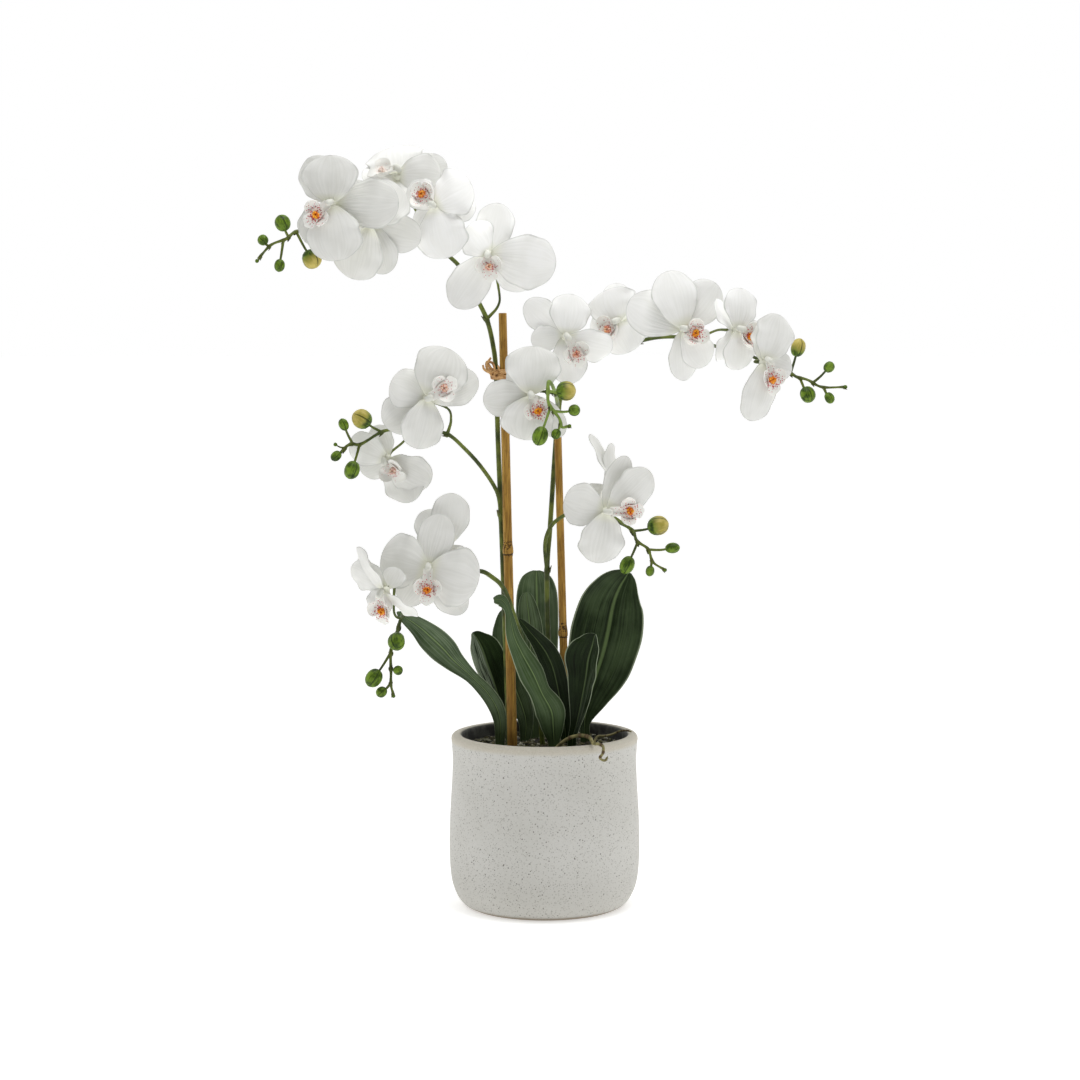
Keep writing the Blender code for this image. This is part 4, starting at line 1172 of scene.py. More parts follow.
def place_copies(kind, mesh, spots_of, finish):
    """Copies of a pattern on each stem. A spot has its place, its way, its width, length and ripeness."""
    close_up(mesh, 60)
    pattern = add_object(mesh.name, mesh)
    for stem in spikes:
        spots = spots_of(stem)
        name = kind + "_" + stem.split("_")[1]
        turns = [way.to_track_quat("Z", "Y").to_euler() for _, way, _, _, _ in spots]
        sizes = [(wide, wide, tall) for _, _, wide, tall, _ in spots]
        ripe = [tone for *_, tone in spots]
        points = mesh_of(name, [place for place, *_ in spots], [], turn=turns, size=sizes, ripe=ripe)
        made = grow(add_object(name, points), COPIES, Pattern=pattern, Finish=finish)
        made.data.shade_smooth()
        settle(made, "stem")
        print(made.name, "copies:", len(spots), "faces:", len(made.data.polygons))
    bpy.data.objects.remove(pattern)


def buds_of(stem):
    """Spots of the buds of a stem."""
    return [(centre, (centre - root).normalized(), wide, tall, ripe)
            for root, centre, wide, tall, ripe, _ in bud_spots(stem, spikes[stem][1])]


place_copies("buds", bud_pattern(), buds_of, BUD)

# %% [markdown]
# ## Bracts
# At each joint of a spike sits a bract, the small dry scale that once covered the bud of the branch. It is a
# pointed half cone that hugs the rod. The same tree that copies the buds copies them along the joints.

# %% Bracts
BRACT_LONG = 6.5
BRACT_GRID = 7
BRACT_THIN = 0.86
BRACT_PLAY = 0.9


def bract_pattern():
    """One bract, a millimetre long and wide, wrapped half way round the joint."""
    share = np.linspace(0, 1, BRACT_GRID)[:, None]
    wrap = np.linspace(-1.5, 1.5, BRACT_GRID)[None, :] * (1 - share) ** 0.7
    radius = 0.5 + 0.16 * share
    front = np.stack([np.sin(wrap) * radius, -np.cos(wrap) * radius, share - 0.2 + 0 * wrap], axis=-1)
    body = Body()
    body.add_sheet(front, front * (BRACT_THIN, BRACT_THIN, 1.0), tone=share * 0.7 + 0.35)
    return body.mesh("bract_pattern")


def bracts_of(stem):
    """Spots of the bracts of a stem, smaller towards the ends of its rows."""
    _, lines, joints = spikes[stem]
    spots = []
    for joint in joints:
        line = min(lines, key=lambda row: (nearest(row, joint) - joint).length)
        share = min(range(len(line)), key=lambda i: (line[i] - joint).length) / (len(line) - 1)
        run = min(range(len(line) - 1), key=lambda i: ((line[i] + line[i + 1]) / 2 - joint).length)
        way = (line[run + 1] - line[run]).normalized()
        thick = SPIKE_FOOT + (SPIKE_TIP - SPIKE_FOOT) * share ** 1.5 + JOINT_SWELL
        spots.append((joint, way, 2 * thick + BRACT_PLAY, BRACT_LONG * (1.05 - 0.5 * share), 0.5))
    return spots


place_copies("bracts", bract_pattern(), bracts_of, STEM)

# %% [markdown]
# ## Raffia tie
# Flat strips of palm leaf are wound round the left cane and its spike and knotted in front. Each strip is a
# thin rod of its own at its own height and slant, and their fibres show as noise along the winding. The knot
# is a few small turns every way round, with loose ends and a bow.

# %% Raffia
def raffia_skin():
    paint = Paint("raffia_fibre", roughness=0.7)
    fibre = paint.noise(paint.spot(0.25, 0.25, 1), 2400, 3, 0.6)
    cloud = paint.noise(paint.spot(), 260, 2)
    colour = paint.mix(paint.ramp(fibre, 0.35, 0.7), rgb(178, 128, 72), rgb(224, 184, 128))
    colour = paint.mix(paint.ramp(cloud, 0.5, 0.68) * 0.7, colour, rgb(122, 72, 36))
    paint.set("Base Color", colour)
    paint.bump(fibre, 0.3, 0.7)
    return paint.material


RAFFIA = raffia_skin()
RAFFIA_SIDES = 8
TIE_SHARE = 0.135
# Strips of the tie: rise, slant and thickness
TIE_STRIPS = [(-5.4, 0.4, 1.3), (-2.9, -0.9, 1.4), (-0.3, 0.7, 1.3), (2.2, -0.5, 1.2), (-4.2, 1.8, 0.9),
              (1.0, -2.2, 0.9)]
# Ends and bow of the knot, from its middle
TIE_ENDS = [
    [(0, 0, 0), (-3, -2, 5), (-4.5, -3, 9), (-2, -3, 13)],
    [(0, 0, 0), (-4, -3, 0.5), (-8, -4, 3), (-9, -3, 6.5)],
    [(0, 0, 0), (-5, -3, 3), (-5.5, -4, 9), (-1, -4, 8.5), (1, -3, 4), (0, -2, 1)],
    [(0, 0, 1), (3, -2, 0), (5, -3, 3), (4, -2, 6)],
]
HALF_TURN = 160
HALF_STEPS = 8
KNOT_SEED = 8
KNOT_TURNS = 4
KNOT_STEPS = 12


def tie_frame():
    """Middle of the tie on the cane, the way to the spike and its reach, and the way to the front."""
    foot, top = CANES["cane_left"][:2]
    cane = seen(*top).lerp(seen(*foot), TIE_SHARE)
    away = nearest(row_line("stem_left", 0), cane) - cane
    away.z = 0
    out = away.normalized()
    side = Vector((-out.y, out.x, 0))
    return cane, out, away.length, side if side.y < 0 else -side


def strip_rods(cane, out, reach, front, cane_radius):
    """Strips that run round the cane and the spike."""
    rods = []
    for rise, slant, thick in TIE_STRIPS:
        loop = []
        for centre, radius, start in ((cane, cane_radius + 0.35 + thick, 100),
                                      (cane + out * reach, SPIKE_FOOT + 0.2 + thick, -80)):
            for step in range(HALF_STEPS + 1):
                angle = math.radians(start + HALF_TURN * step / HALF_STEPS)
                way = out * math.cos(angle) + front * math.sin(angle)
                tilt = slant * math.sin(angle) * 1.2
                loop.append(centre + way * radius + Vector((0, 0, rise + tilt)))
        rods.append((loop, [thick * 0.95] * len(loop), [0.0] * len(loop), True))
    return rods


def knot_rods(knot):
    """Turns of the knot every way round, with its ends and its bow."""
    draw = np.random.default_rng(KNOT_SEED)
    rods = []
    for turn in range(KNOT_TURNS):
        axis = Vector(draw.normal(0, 1, 3)).normalized()
        across = axis.orthogonal().normalized()
        other = axis.cross(across)
        wide = 2.4 + 0.35 * turn
        loop = [knot + across * math.cos(a) * wide + other * math.sin(a) * wide * 0.8
                for a in np.linspace(0, 2 * math.pi, KNOT_STEPS + 1)[:-1]]
        rods.append((loop, [0.95] * len(loop), [0.0] * len(loop), True))
    for end in TIE_ENDS:
        line = smooth([knot + Vector(p) for p in end], 5)
        rods.append((line, np.linspace(1.5, 0.9, len(line)), [0.0] * len(line), False))
    return rods


def make_tie():
    cane, out, reach, front = tie_frame()
    radius = CANES["cane_left"][3]
    knot = cane + out * (reach * 0.55) + front * (radius + 3.6)
    rods = strip_rods(cane, out, reach, front, radius) + knot_rods(knot)
    return settle(sweep("raffia", rods, RAFFIA_SIDES, RAFFIA), "raffia", "raffia_tie")


raffia = make_tie()
print("raffia faces:", len(raffia.data.polygons))

# %% [markdown]
# ## Leaf finish
# The upper side of a leaf is dark, with fine veins that run its whole length; the underside is paler and
# duller. The midrib is a lighter line, its own paler green with a painted highlight, between two bands of
# painted shade, and the very edge is thin and pale. Some leaves are painted paler as a whole, partly their
# own tone and partly painted light, and the crowded middle ones darker as painted shade; some carry grey
# streaks of painted sheen on the half that faces the light. All of it follows the painted values along and
# across the leaf, so the veins bend with the blade.

# %% Leaf finish
def leaf_skin():
    paint = Paint("leaf_skin", coat_roughness=0.25, specular_ior_level=0.07)
    place = paint.spot()
    along = paint.painted("along")
    across = paint.painted("across")
    under = paint.painted("under")
    leaf = paint.painted("leaf")
    pale = paint.painted("pale")
    wide = abs(across)
    vein = paint.noise(paint.point(across * 15, along * 0.9, leaf * 7), 2.2, 3, 0.6)
    fine = paint.noise(paint.point(across * 60, along * 2.0, leaf * 5), 2.0, 2)
    cloud = paint.noise(place, 38, 3)
    streak = paint.noise(paint.point(across * 5, along * 1.3, leaf * 3), 2.4, 4, 0.65)
    tone = paint.ramp(vein * 0.55 + cloud * 0.45, 0.38, 0.62)
    dark = paint.mix(tone, rgb(7, 17, 2), rgb(27, 43, 14))
    light = paint.mix(tone, rgb(54, 72, 42), rgb(96, 114, 80))
    # Paleness of each leaf: partly its own tone, partly painted light and shade
    colour = paint.mix(paint.ramp(pale + (cloud - 0.5) * 0.4, 0.0, 1.0), dark, light)
    colour = paint.mix(under * 0.3, colour, rgb(84, 108, 64))
    colour = paint.mix(paint.ramp(fine, 0.5, 0.72) * 0.3, colour, rgb(92, 116, 72))
    colour = paint.mix(paint.ramp(fine, 0.48, 0.3) * 0.3, colour, rgb(14, 26, 10))
    # Painted sheen: grey streaks on the lit half of the leaf, past its foot
    lit = paint.ramp(across * paint.painted("side"), -0.1, 0.15) * paint.ramp(along, 0.12, 0.3)
    wax = paint.ramp(streak, 0.42, 0.6) * lit * paint.painted("wax")
    colour = paint.mix(wax, colour, rgb(142, 156, 134))
    shade = paint.ramp(wide, 0.2, 0.05) * (1 - along * 0.4) + paint.ramp(wide, 0.5, 0.9) * pale * 0.6
    colour = paint.mix(shade * 0.6, colour, rgb(10, 22, 6))
    # The midrib: its own paler green with a painted highlight along it
    rib = paint.ramp(wide, 0.075, 0.02) * (1 - along * 0.35)
    colour = paint.mix(rib * (0.4 + pale * 0.45), colour, rgb(136, 160, 104))
    edge = paint.ramp(wide, 0.94, 0.975)
    colour = paint.mix(edge * 0.8, colour, rgb(160, 172, 144))
    foot = 1 - paint.ramp(along, 0.0, 0.16)
    paint.set("Base Color", paint.mix(foot * 0.4, colour, rgb(64, 82, 32)))
    paint.set("Roughness", 0.38 + under * 0.16 + cloud * 0.1)
    paint.set("Coat Weight", 0.06 - under * 0.05)
    paint.bump(vein * 0.5 + fine * 0.5, 0.35, 0.5)
    return paint.material


LEAF = leaf_skin()

# %% [markdown]
# ## Leaves
# Each leaf is a strap folded along its midrib. It starts as a narrow sheath in the mix, widens, and ends in a
# blunt tip, with a slow wave along its edges. The grid is folded a little sharper at the midrib than a round
# gutter would be, and it is thick in the middle and thin at the edge.

# %% Leaves
LEAF_COLUMNS = 21
LEAF_FINE = 7
LEAF_EDGE = 0.6
LEAF_WAVE = 0.05
LEAF_GROOVE = 0.5
LEAF_SEED = 40
# How pale each leaf is, partly its own tone and partly painted light and shade: the crowded leaves in the
# middle are painted dark, those outside pale
LEAF_PALE = [0.6, 0.0, 0.0, 0.36, 0.75, 1.0, 0.75, 0.08, 0.9]
# Painted sheen in grey streaks: how much there is on a leaf, and the half that it shows on, the one that
# faces the light, 0 for both
LEAF_SHEEN = [(0.45, 0), (0.08, 0), (0.25, 1), (0.12, 0), (0.5, 0), (0.7, 0), (0.4, 0), (1.0, -1), (0.8, 0)]


def leaf_grid(stations, turn):
    """Middle places, facings, side ways, half widths and shares of the length of a leaf, row by row."""
    # The squares of the half widths are smoothed, so that a blunt tip comes out round
    path = smooth([Vector((*seen(*spot[:3]), spot[3] ** 2)) for spot in stations], LEAF_FINE)
    foot = path[0].xyz
    middle = [Vector((foot.x, foot.y, SOIL_TOP - LEAF_SUNK)), Vector((foot.x, foot.y, SOIL_TOP + 0.5))]
    middle += [spot.xyz for spot in path[1:]]
    halves = [LEAF_FOOT, LEAF_FOOT] + [math.sqrt(max(spot.w, 0.1)) for spot in path[1:]]
    steps = [0.0] + [(b - a).length for a, b in zip(middle, middle[1:])]
    shares = np.cumsum(steps) / sum(steps)
    facings = []
    sides = []
    for i in range(len(middle)):
        way = (middle[min(i + 1, len(middle) - 1)] - middle[max(i - 1, 0)]).normalized()
        twist = min(1.0, 0.25 + 0.25 * max(i - 1, 0) / LEAF_FINE)
        facing = turned_about(Vector((0, -1, 0.15)), way, turn * twist)
        side = way.cross(facing).normalized()
        sides.append(side)
        facings.append(side.cross(way))
    return np.array(middle), np.array(facings), np.array(sides), np.array(halves), shares


def leaf_rise(number, fold, half, across, grown):
    """How far a leaf's grid stands off its midrib: its fold, and a wave of its own along each edge."""
    draw = np.random.default_rng(LEAF_SEED + number)
    wide = np.abs(across)
    rise = fold * half * wide ** 1.4
    for sign in (-1, 1):
        phase = draw.uniform(0, 2 * math.pi)
        wave = np.sin(grown * draw.uniform(7, 10) + phase) * np.sin(math.pi * grown)
        rise = rise + np.where(across * sign > 0, LEAF_WAVE * half * wave * wide ** 2, 0)
    return rise


def make_leaf(number, leaf):
    """Blade that is folded along its midrib, thick in the middle and thin at the edge."""
    stations, turn, fold = leaf
    middle, facings, sides, halves, shares = leaf_grid(stations, turn)
    half = halves[:, None]
    grown = shares[:, None]
    across = np.linspace(-1, 1, LEAF_COLUMNS)[None, :]
    across = np.sign(across) * np.abs(across) ** 0.85
    rise = leaf_rise(number, fold, half, across, grown)
    lift = facings[:, None, :]
    centre = middle[:, None, :] + sides[:, None, :] * (across * half)[..., None] + lift * rise[..., None]
    thick = LEAF_EDGE + (LEAF_THICK - LEAF_EDGE) * (1 - across ** 2) * np.clip(1.15 - grown, 0.25, 1)
    groove = np.sign(fold) * LEAF_GROOVE * np.exp(-(across / 0.06) ** 2) * (1 - 0.6 * grown)
    front = centre + lift * (thick / 2 - groove)[..., None]
    back = centre - lift * (thick / 2 + groove)[..., None]
    wax, side = LEAF_SHEEN[number - 1]
    body = Body()
    body.add_sheet(front, back, along=grown, across=across, under=(0, 1) if fold > 0 else (1, 0),
                   leaf=number, pale=LEAF_PALE[number - 1], wax=wax, side=side)
    return make_piece(f"leaf_blade_{number}", body, LEAF, "leaf", f"leaf_{number}", 70)


leaves = [make_leaf(number, leaf) for number, leaf in enumerate(LEAVES, 1)]
print("leaf faces:", sum(len(leaf.data.polygons) for leaf in leaves))

# %% [markdown]
# ## Aerial roots
# Two roots wander out of the pot: one curls over the front of the rim, the other lies along it. Their skin is
# a spongy grey-green that turns olive and brown with age, with knotty swellings.

# %% Roots
ROOT_SIDES = 12
ROOT_FINE = 8
ROOT_KNOTS = 7
KNOT_REACH = 0.018
KNOT_SWELL = 0.22


def root_skin():
    paint = Paint("root_skin", roughness=0.65)
    place = paint.spot()
    cloud = paint.noise(place, 220, 3)
    grain = paint.noise(place, 1300, 2)
    tone = paint.painted("tone")
    colour = paint.mix(paint.ramp(cloud, 0.35, 0.65), rgb(104, 98, 58), rgb(150, 142, 92))
    colour = paint.mix(paint.ramp(tone + grain * 0.3, 0.5, 1.1), colour, rgb(84, 64, 36))
    paint.set("Base Color", colour)
    paint.bump(grain * 0.5 + cloud * 0.5, 0.4, 0.6)
    return paint.material


ROOT = root_skin()


def make_root(name, node, seed):
    """Root with small swellings along it and a thin, pointed end."""
    points, radius = ROOTS[node]
    line = stand([seen(*p) for p in points], LEAF_SUNK)
    line = [line[0]] + smooth(line[1:], ROOT_FINE)
    knots = np.random.default_rng(seed).uniform(0.1, 0.95, ROOT_KNOTS)
    radii = []
    tones = []
    for share in np.linspace(0, 1, len(line)):
        swell = max(math.exp(-((share - knot) / KNOT_REACH) ** 2) for knot in knots)
        end = min(1.0, (1 - share) / 0.05 + 0.15)
        radii.append(radius * (1 - 0.4 * share) * end * (1 + KNOT_SWELL * swell))
        tones.append(0.8 * swell + 0.5 * share)
    return settle(sweep(name, [(line, radii, tones, False)], ROOT_SIDES, ROOT), "root", node)


roots = [make_root("root_over_front", "root_curled", 2), make_root("root_along_rim", "root_rim", 9)]
print("root faces:", sum(len(root.data.polygons) for root in roots))

# %% [markdown]
# ## Petal finish
# The five white tepals let light through, so part of the light is scattered under the skin. Fine veins fan
# out from the hub; because they follow the share across the petal, they spread as it widens. The throat is
# tinged with cream and green, a few petals carry clear pleats with painted shade in their folds, a thin line
# of painted shade runs along each rim, and a painted value gives each bloom its painted light, from greyer
# to whiter.

# %% Petal finish
def petal_skin():
    paint = Paint("petal_white", roughness=0.6, subsurface_weight=0.2, subsurface_scale=0.002,
                  subsurface_radius=(1.0, 1.0, 0.92), specular_ior_level=0.25)
    place = paint.spot()
    along = paint.painted("along")
    across = paint.painted("across")
    mark = paint.painted("mark")
    pleat = paint.painted("pleat")
    bright = paint.painted("bright")
    fan = paint.noise(paint.point(across * 5, along * 0.7, mark), 2.0, 2, 0.5)
    thread = paint.noise(paint.point(across * 26, along * 1.2, mark), 1.6, 2)
    cloud = paint.noise(place, 45, 2)
    folds = ((across * 36 + (fan - 0.5) * 14 + mark).wave() * 0.5 + 0.5) * paint.ramp(along, 0.75, 0.3)
    veins = paint.ramp(fan * 0.4 + cloud * 0.6, 0.35, 0.65)
    grey = paint.mix(veins, rgb(223, 223, 218), rgb(235, 235, 231))
    # Painted light: each bloom's painted brightness mixes its grey towards white
    white = paint.mix(bright, grey, paint.mix(veins, rgb(247, 247, 244), rgb(255, 255, 253)))
    white = paint.mix(paint.ramp(thread, 0.56, 0.74) * 0.16, white, rgb(214, 215, 205))
    # Painted shade in the folds of the pleats
    white = paint.mix(folds * pleat * 0.34, white, rgb(196, 197, 190))
    throat = paint.ramp(along, 0.26, 0.05)
    colour = paint.mix(throat * 0.45, white, rgb(222, 223, 192))
    # Painted shade: a thin grey line along the rim and the tip of each tepal
    edge = paint.ramp(abs(across) ** 9 + along ** 34, 0.42, 0.8)
    paint.set("Base Color", paint.mix(edge * 0.6, colour, rgb(190, 191, 186)))
    paint.set("Roughness", 0.52 + fan * 0.1)
    paint.bump(fan * 0.4 + thread * 0.1 + folds * pleat * 1.8, 0.3, 0.5)
    return paint.material


PETAL = petal_skin()

# %% [markdown]
# ## Blooms
# A moth orchid opens three narrow sepals behind two broad petals. Each is laid out from the hub to the spot
# where its tip was seen, with a rounded outline, a slow ruffle along the edge and a slight cup away from the
# front. The seed of each ruffle is fixed, so every run grows the same bloom.

# %% Blooms
TEPAL_ROWS = 26
TEPAL_COLUMNS = 17
TEPAL_EDGE = 0.3
TEPAL_THICK = 0.9
ROOT_SHARE = 0.03
ROOT_HALF = 1.5
RUFFLE = 0.04
EDGE_PLAY = 0.025
MID_GROOVE = 0.35
HUB_SIDES = 14
HUB_PROFILE = [(-3.6, 0.0), (-3.4, 1.0), (-2.6, 2.2), (-1.0, 3.2), (0.8, 3.4), (2.4, 2.8), (3.3, 1.6),
               (3.6, 0.0)]
# Tepals with clear pleats, by bloom and tepal: petals count from 0 and sepals from 5
PLEATS = {(1, 5): 1.0, (1, 0): 0.5, (2, 0): 0.6, (2, 1): 0.6, (5, 0): 0.4, (8, 5): 0.6, (10, 0): 0.5,
          (11, 0): 0.3, (13, 5): 1.0, (14, 0): 0.6, (18, 5): 0.4}
# Painted light on each bloom, from greyer to whiter: those at the back and the top are painted as catching
# the lamp, those low in front greyer
BLOOM_LIGHT = [0.0, 0.1, 0.3, 1.0, 0.8, 0.0, 0.0, 0.0, 0.0, 0.0, 0.9, 1.0, 0.6, 0.9, 0.1, 0.0, 0.0, 0.0]


def spread(share):
    """Half width of a petal or sepal along its length, as a share of the widest."""
    return np.sin(math.pi * np.clip(share, 0, 1) ** 1.35) ** 0.5


def tepal_frame(bloom, tip, lift):
    """Root of a petal or sepal, its way to the tip, its side way, its facing, and its length."""
    centre, facing = bloom_frame(bloom)
    root = centre + facing * lift
    reach = seen(tip[0], tip[1], bloom[2][2] + tip[3]) - root
    way = reach.normalized()
    turn = tip[4] if len(tip) > 4 else 0
    out = turned_about(facing - way * facing.dot(way), way, turn).normalized()
    side = way.cross(out).normalized()
    return *(np.array(p) for p in (root, way, side, out)), reach.length


def ruffle(share, across, width, seed):
    """How far the edges of a tepal stand off its middle, and its outline, with waves of each side's own."""
    draw = np.random.default_rng(seed)
    wide = np.abs(across)
    rise = 0
    outline = 1
    for sign in (-1, 1):
        phase = draw.uniform(0, 2 * math.pi)
        waves = 2 * math.pi * draw.uniform(1.6, 2.6) * share
        here = across * sign > 0
        edge = RUFFLE * width * np.sin(waves + phase) * np.sin(math.pi * share) ** 0.6
        rise = rise + np.where(here, edge * wide ** 3, 0)
        outline = outline + np.where(here, EDGE_PLAY * np.sin(1.3 * waves + phase * 2) * wide, 0)
    return rise, outline


def add_tepal(body, bloom, tip, lift, bow, seed, **paint):
    """Petal or sepal as a thin closed sheet from the hub to its tip."""
    root, way, side, out, length = tepal_frame(bloom, tip, lift)
    grown = (1 - (1 - np.linspace(0, 1, TEPAL_ROWS)) ** 1.6)[:, None]
    share = ROOT_SHARE + (1 - ROOT_SHARE) * grown
    across = np.linspace(-1, 1, TEPAL_COLUMNS)[None, :]
    half = np.maximum(tip[2] / 2 * spread(share), ROOT_HALF * (1 - share))
    rise, outline = ruffle(share, across, tip[2], seed)
    arch = bow * length - MID_GROOVE * np.exp(-(across / 0.12) ** 2)
    rise = rise + arch * np.sin(math.pi * share) - CUP * half * np.abs(across) ** 1.6
    centres = root + way * (length * share)[..., None] + side * (across * half * outline)[..., None]
    thick = TEPAL_EDGE + (TEPAL_THICK - TEPAL_EDGE) * (1 - across ** 2) * (1 - 0.6 * share)
    front = centres + out * (rise + thick / 2)[..., None]
    back = centres + out * (rise - thick / 2)[..., None]
    body.add_sheet(front, back, along=share, across=across, mark=seed % 97, **paint)


def make_bloom(number, bloom):
    """White part of a bloom: two broad petals before three sepals, on a small hub."""
    bright = BLOOM_LIGHT[number - 1]
    body = Body()
    hub = rings(HUB_PROFILE, HUB_SIDES, *bloom_frame(bloom))
    body.add(*hub, along=0.05, across=0.5, mark=number, pleat=0, bright=bright)
    for first, tips, lift, bow in ((0, bloom[5], ROOT_LIFT, PETAL_BOW), (5, bloom[6], -ROOT_LIFT, SEPAL_BOW)):
        for tepal, tip in enumerate(tips, first):
            pleat = PLEATS.get((number, tepal), 0.1)
            add_tepal(body, bloom, tip, lift, bow, number * 10 + tepal, pleat=pleat, bright=bright)
    return make_piece(f"tepals_{number:02d}", body, PETAL, "petal", f"bloom_{number:02d}", 80)


blooms = [make_bloom(number, bloom) for number, bloom in enumerate(BLOOMS, 1)]
print("bloom faces:", sum(len(bloom.data.polygons) for bloom in blooms))

# %% [markdown]
# ## Lips
# The lip is the sixth tepal. It has two side lobes that stand up beside the column, a middle lobe like an
# arrowhead, and a warty callus between them. The callus is yellow and orange, and the lobes round it are
# flecked with red, most and largest close to it. The distance from the callus is painted on, and so is how
# vivid the marks of a lip are.

# %% Lip finish
def lip_skin():
    paint = Paint("lip_skin", roughness=0.45, subsurface_weight=0.2, subsurface_scale=0.0015,
                  subsurface_radius=(1.0, 0.9, 0.85), specular_ior_level=0.35)
    place = paint.spot()
    near = paint.painted("near")
    vivid = paint.painted("vivid")
    gold = paint.painted("gold")
    cloud = paint.noise(place, 420, 2)
    colour = paint.mix(cloud, rgb(229, 228, 222), rgb(241, 241, 236))
    colour = paint.mix(paint.ramp(near, 1.58, 1.6) * 0.8, colour, rgb(214, 215, 205))
    blush = paint.ramp(near + cloud * 0.4, 1.2, 0.5)
    colour = paint.mix(blush * (vivid * 0.2 + 0.06), colour, rgb(240, 200, 180))
    spots = paint.cells(place, 680) + paint.noise(place, 1500, 1) * 0.26 + near * 0.3 - 0.22
    chance = paint.axes(paint.cells(place, 680, "Color"))[0]
    fleck = paint.ramp(spots, 0.56, 0.5) * (chance > near * 0.5 + (1 - vivid) * 0.28)
    reach = paint.ramp(near, 1.35, 1.1)
    strength = (vivid * 4).least(1.0) * (vivid * 0.3 + 0.62)
    red = paint.mix(paint.axes(paint.cells(place, 680, "Color"))[1], rgb(158, 10, 38), rgb(208, 44, 72))
    colour = paint.mix(fleck * reach * strength, colour, red)
    metal = paint.mix(paint.ramp(cloud, 0.42, 0.58), rgb(246, 178, 44), rgb(228, 122, 20))
    colour = paint.mix(gold * (vivid * 1.2 + 0.05), colour, metal)
    deep = paint.ramp(paint.noise(place, 800, 2), 0.56, 0.62)
    colour = paint.mix(gold * deep * strength * 0.9, colour, rgb(178, 40, 22))
    paint.set("Base Color", colour)
    paint.bump(cloud, 0.2, 0.4)
    return paint.material


LIP = lip_skin()

# %% Lips
LIP_SPAN = 9.0
LIP_GAP = 0.35
CALLUS_RISE = 1.5
MIDDLE_GRID = (22, 11)
SIDE_GRID = (16, 9)
MIDDLE_THICK = 0.8
SIDE_THICK = 0.7
COLUMN_SIDES = 16
WART_SIDES = 10
# How near the callus a place counts: up to 1.5 on the lobes, and more on the column, which has no flecks
LOBE_FAR = 1.5
COLUMN_FAR = 1.65
# Middle lobe: mm past the callus, half width, height off the petals, and how far its sides turn up
MIDDLE_LOBE = [(-6.0, 4.0, 1.2, 2.8), (-3.0, 5.0, 2.0, 3.0), (0.0, 5.2, 3.2, 2.4), (2.5, 5.2, 4.2, 2.0),
               (5.0, 5.6, 4.8, 1.4), (7.5, 6.6, 5.0, 1.0), (9.5, 6.2, 4.8, 0.4), (11.2, 4.4, 4.4, 0.0),
               (12.6, 2.2, 3.8, 0.0), (13.6, 0.7, 3.4, 0.0)]
# Side lobe: share out, to the side, mm past the callus, forward, half width
SIDE_LOBE = [(0.0, 1.4, -1.5, 1.8, 4.0), (0.2, 3.6, -1.6, 2.2, 5.6), (0.45, 6.2, -2.0, 3.6, 6.8),
             (0.7, 8.6, -2.4, 5.6, 6.8), (0.86, 10.2, -2.8, 7.2, 5.6), (0.95, 11.2, -3.0, 8.2, 3.8),
             (1.0, 11.9, -3.1, 8.8, 1.4)]
# Hood of the column: way along it and radius
COLUMN_PROFILE = [(-2.0, 0.0), (-1.8, 1.8), (0.0, 2.4), (2.0, 2.7), (4.0, 2.9), (5.4, 2.6), (6.4, 1.9),
                  (6.9, 1.0), (7.0, 0.0)]
CALLUS_PROFILE = [(-2.2, 0.0), (-2.0, 0.9), (-1.0, 1.5), (0.2, 1.6), (1.2, 1.3), (2.0, 0.7), (2.3, 0.0)]
# The callus: warts to the side, below its middle, forward, and their size
WARTS = [(-1.7, 0.6, 0.4, 1.0), (1.7, 0.6, 0.4, 1.0), (-1.1, -1.6, 0.0, 0.8), (1.2, -1.4, 0.1, 0.8),
         (0.0, 1.8, 0.9, 0.9), (-2.6, -0.8, 0.6, 0.6), (2.6, -0.8, 0.6, 0.6)]
# How vivid the marks of each lip are
VIVID = [1, 0.1, 0.06, 0.7, 0.25, 0.2, 0.15, 1, 0.0, 1, 0.25, 0.35, 0.9, 0.8, 1, 1, 1, 0.1]


def along_table(table, places):
    """The columns of a table between its rows."""
    rows = np.array(table)
    return [np.interp(places, rows[:, 0], rows[:, k]) for k in range(1, rows.shape[1])]


def unit(ways):
    """Rows of ways brought to length one."""
    return ways / np.linalg.norm(ways, axis=1, keepdims=True)


def lip_frame(bloom):
    """Root of a bloom's lip, its ways to the front, down and to the side, and the petals under its callus."""
    centre, facing = bloom_frame(bloom)
    root = centre + facing * (HUB_RADIUS + LIP_GAP + LIP_ROOT)
    level = root + facing * LIP_RISE
    close, far = seen(*bloom[4], -250), seen(*bloom[4], 50)
    spot = close.lerp(far, (level - close).dot(facing) / (far - close).dot(facing)) - level
    down = spot.normalized()
    reach = min(max(spot.length, LIP_REACH[0]), LIP_REACH[1])
    root, facing, down, side = (np.array(p) for p in (root, facing, down, down.cross(facing).normalized()))
    return root, facing, down, side, root + down * reach


def middle_lobe(root, facing, down, side, foot):
    """Midline, side way, facing, half widths and upturned sides of the middle lobe."""
    past = np.linspace(MIDDLE_LOBE[0][0], MIDDLE_LOBE[-1][0], MIDDLE_GRID[0])
    halves, rises, cups = along_table(MIDDLE_LOBE, past)
    line = foot + down * past[:, None] + facing * rises[:, None]
    line[0] = root + facing * 0.5
    return line, np.broadcast_to(side, line.shape), np.broadcast_to(facing, line.shape), halves, cups


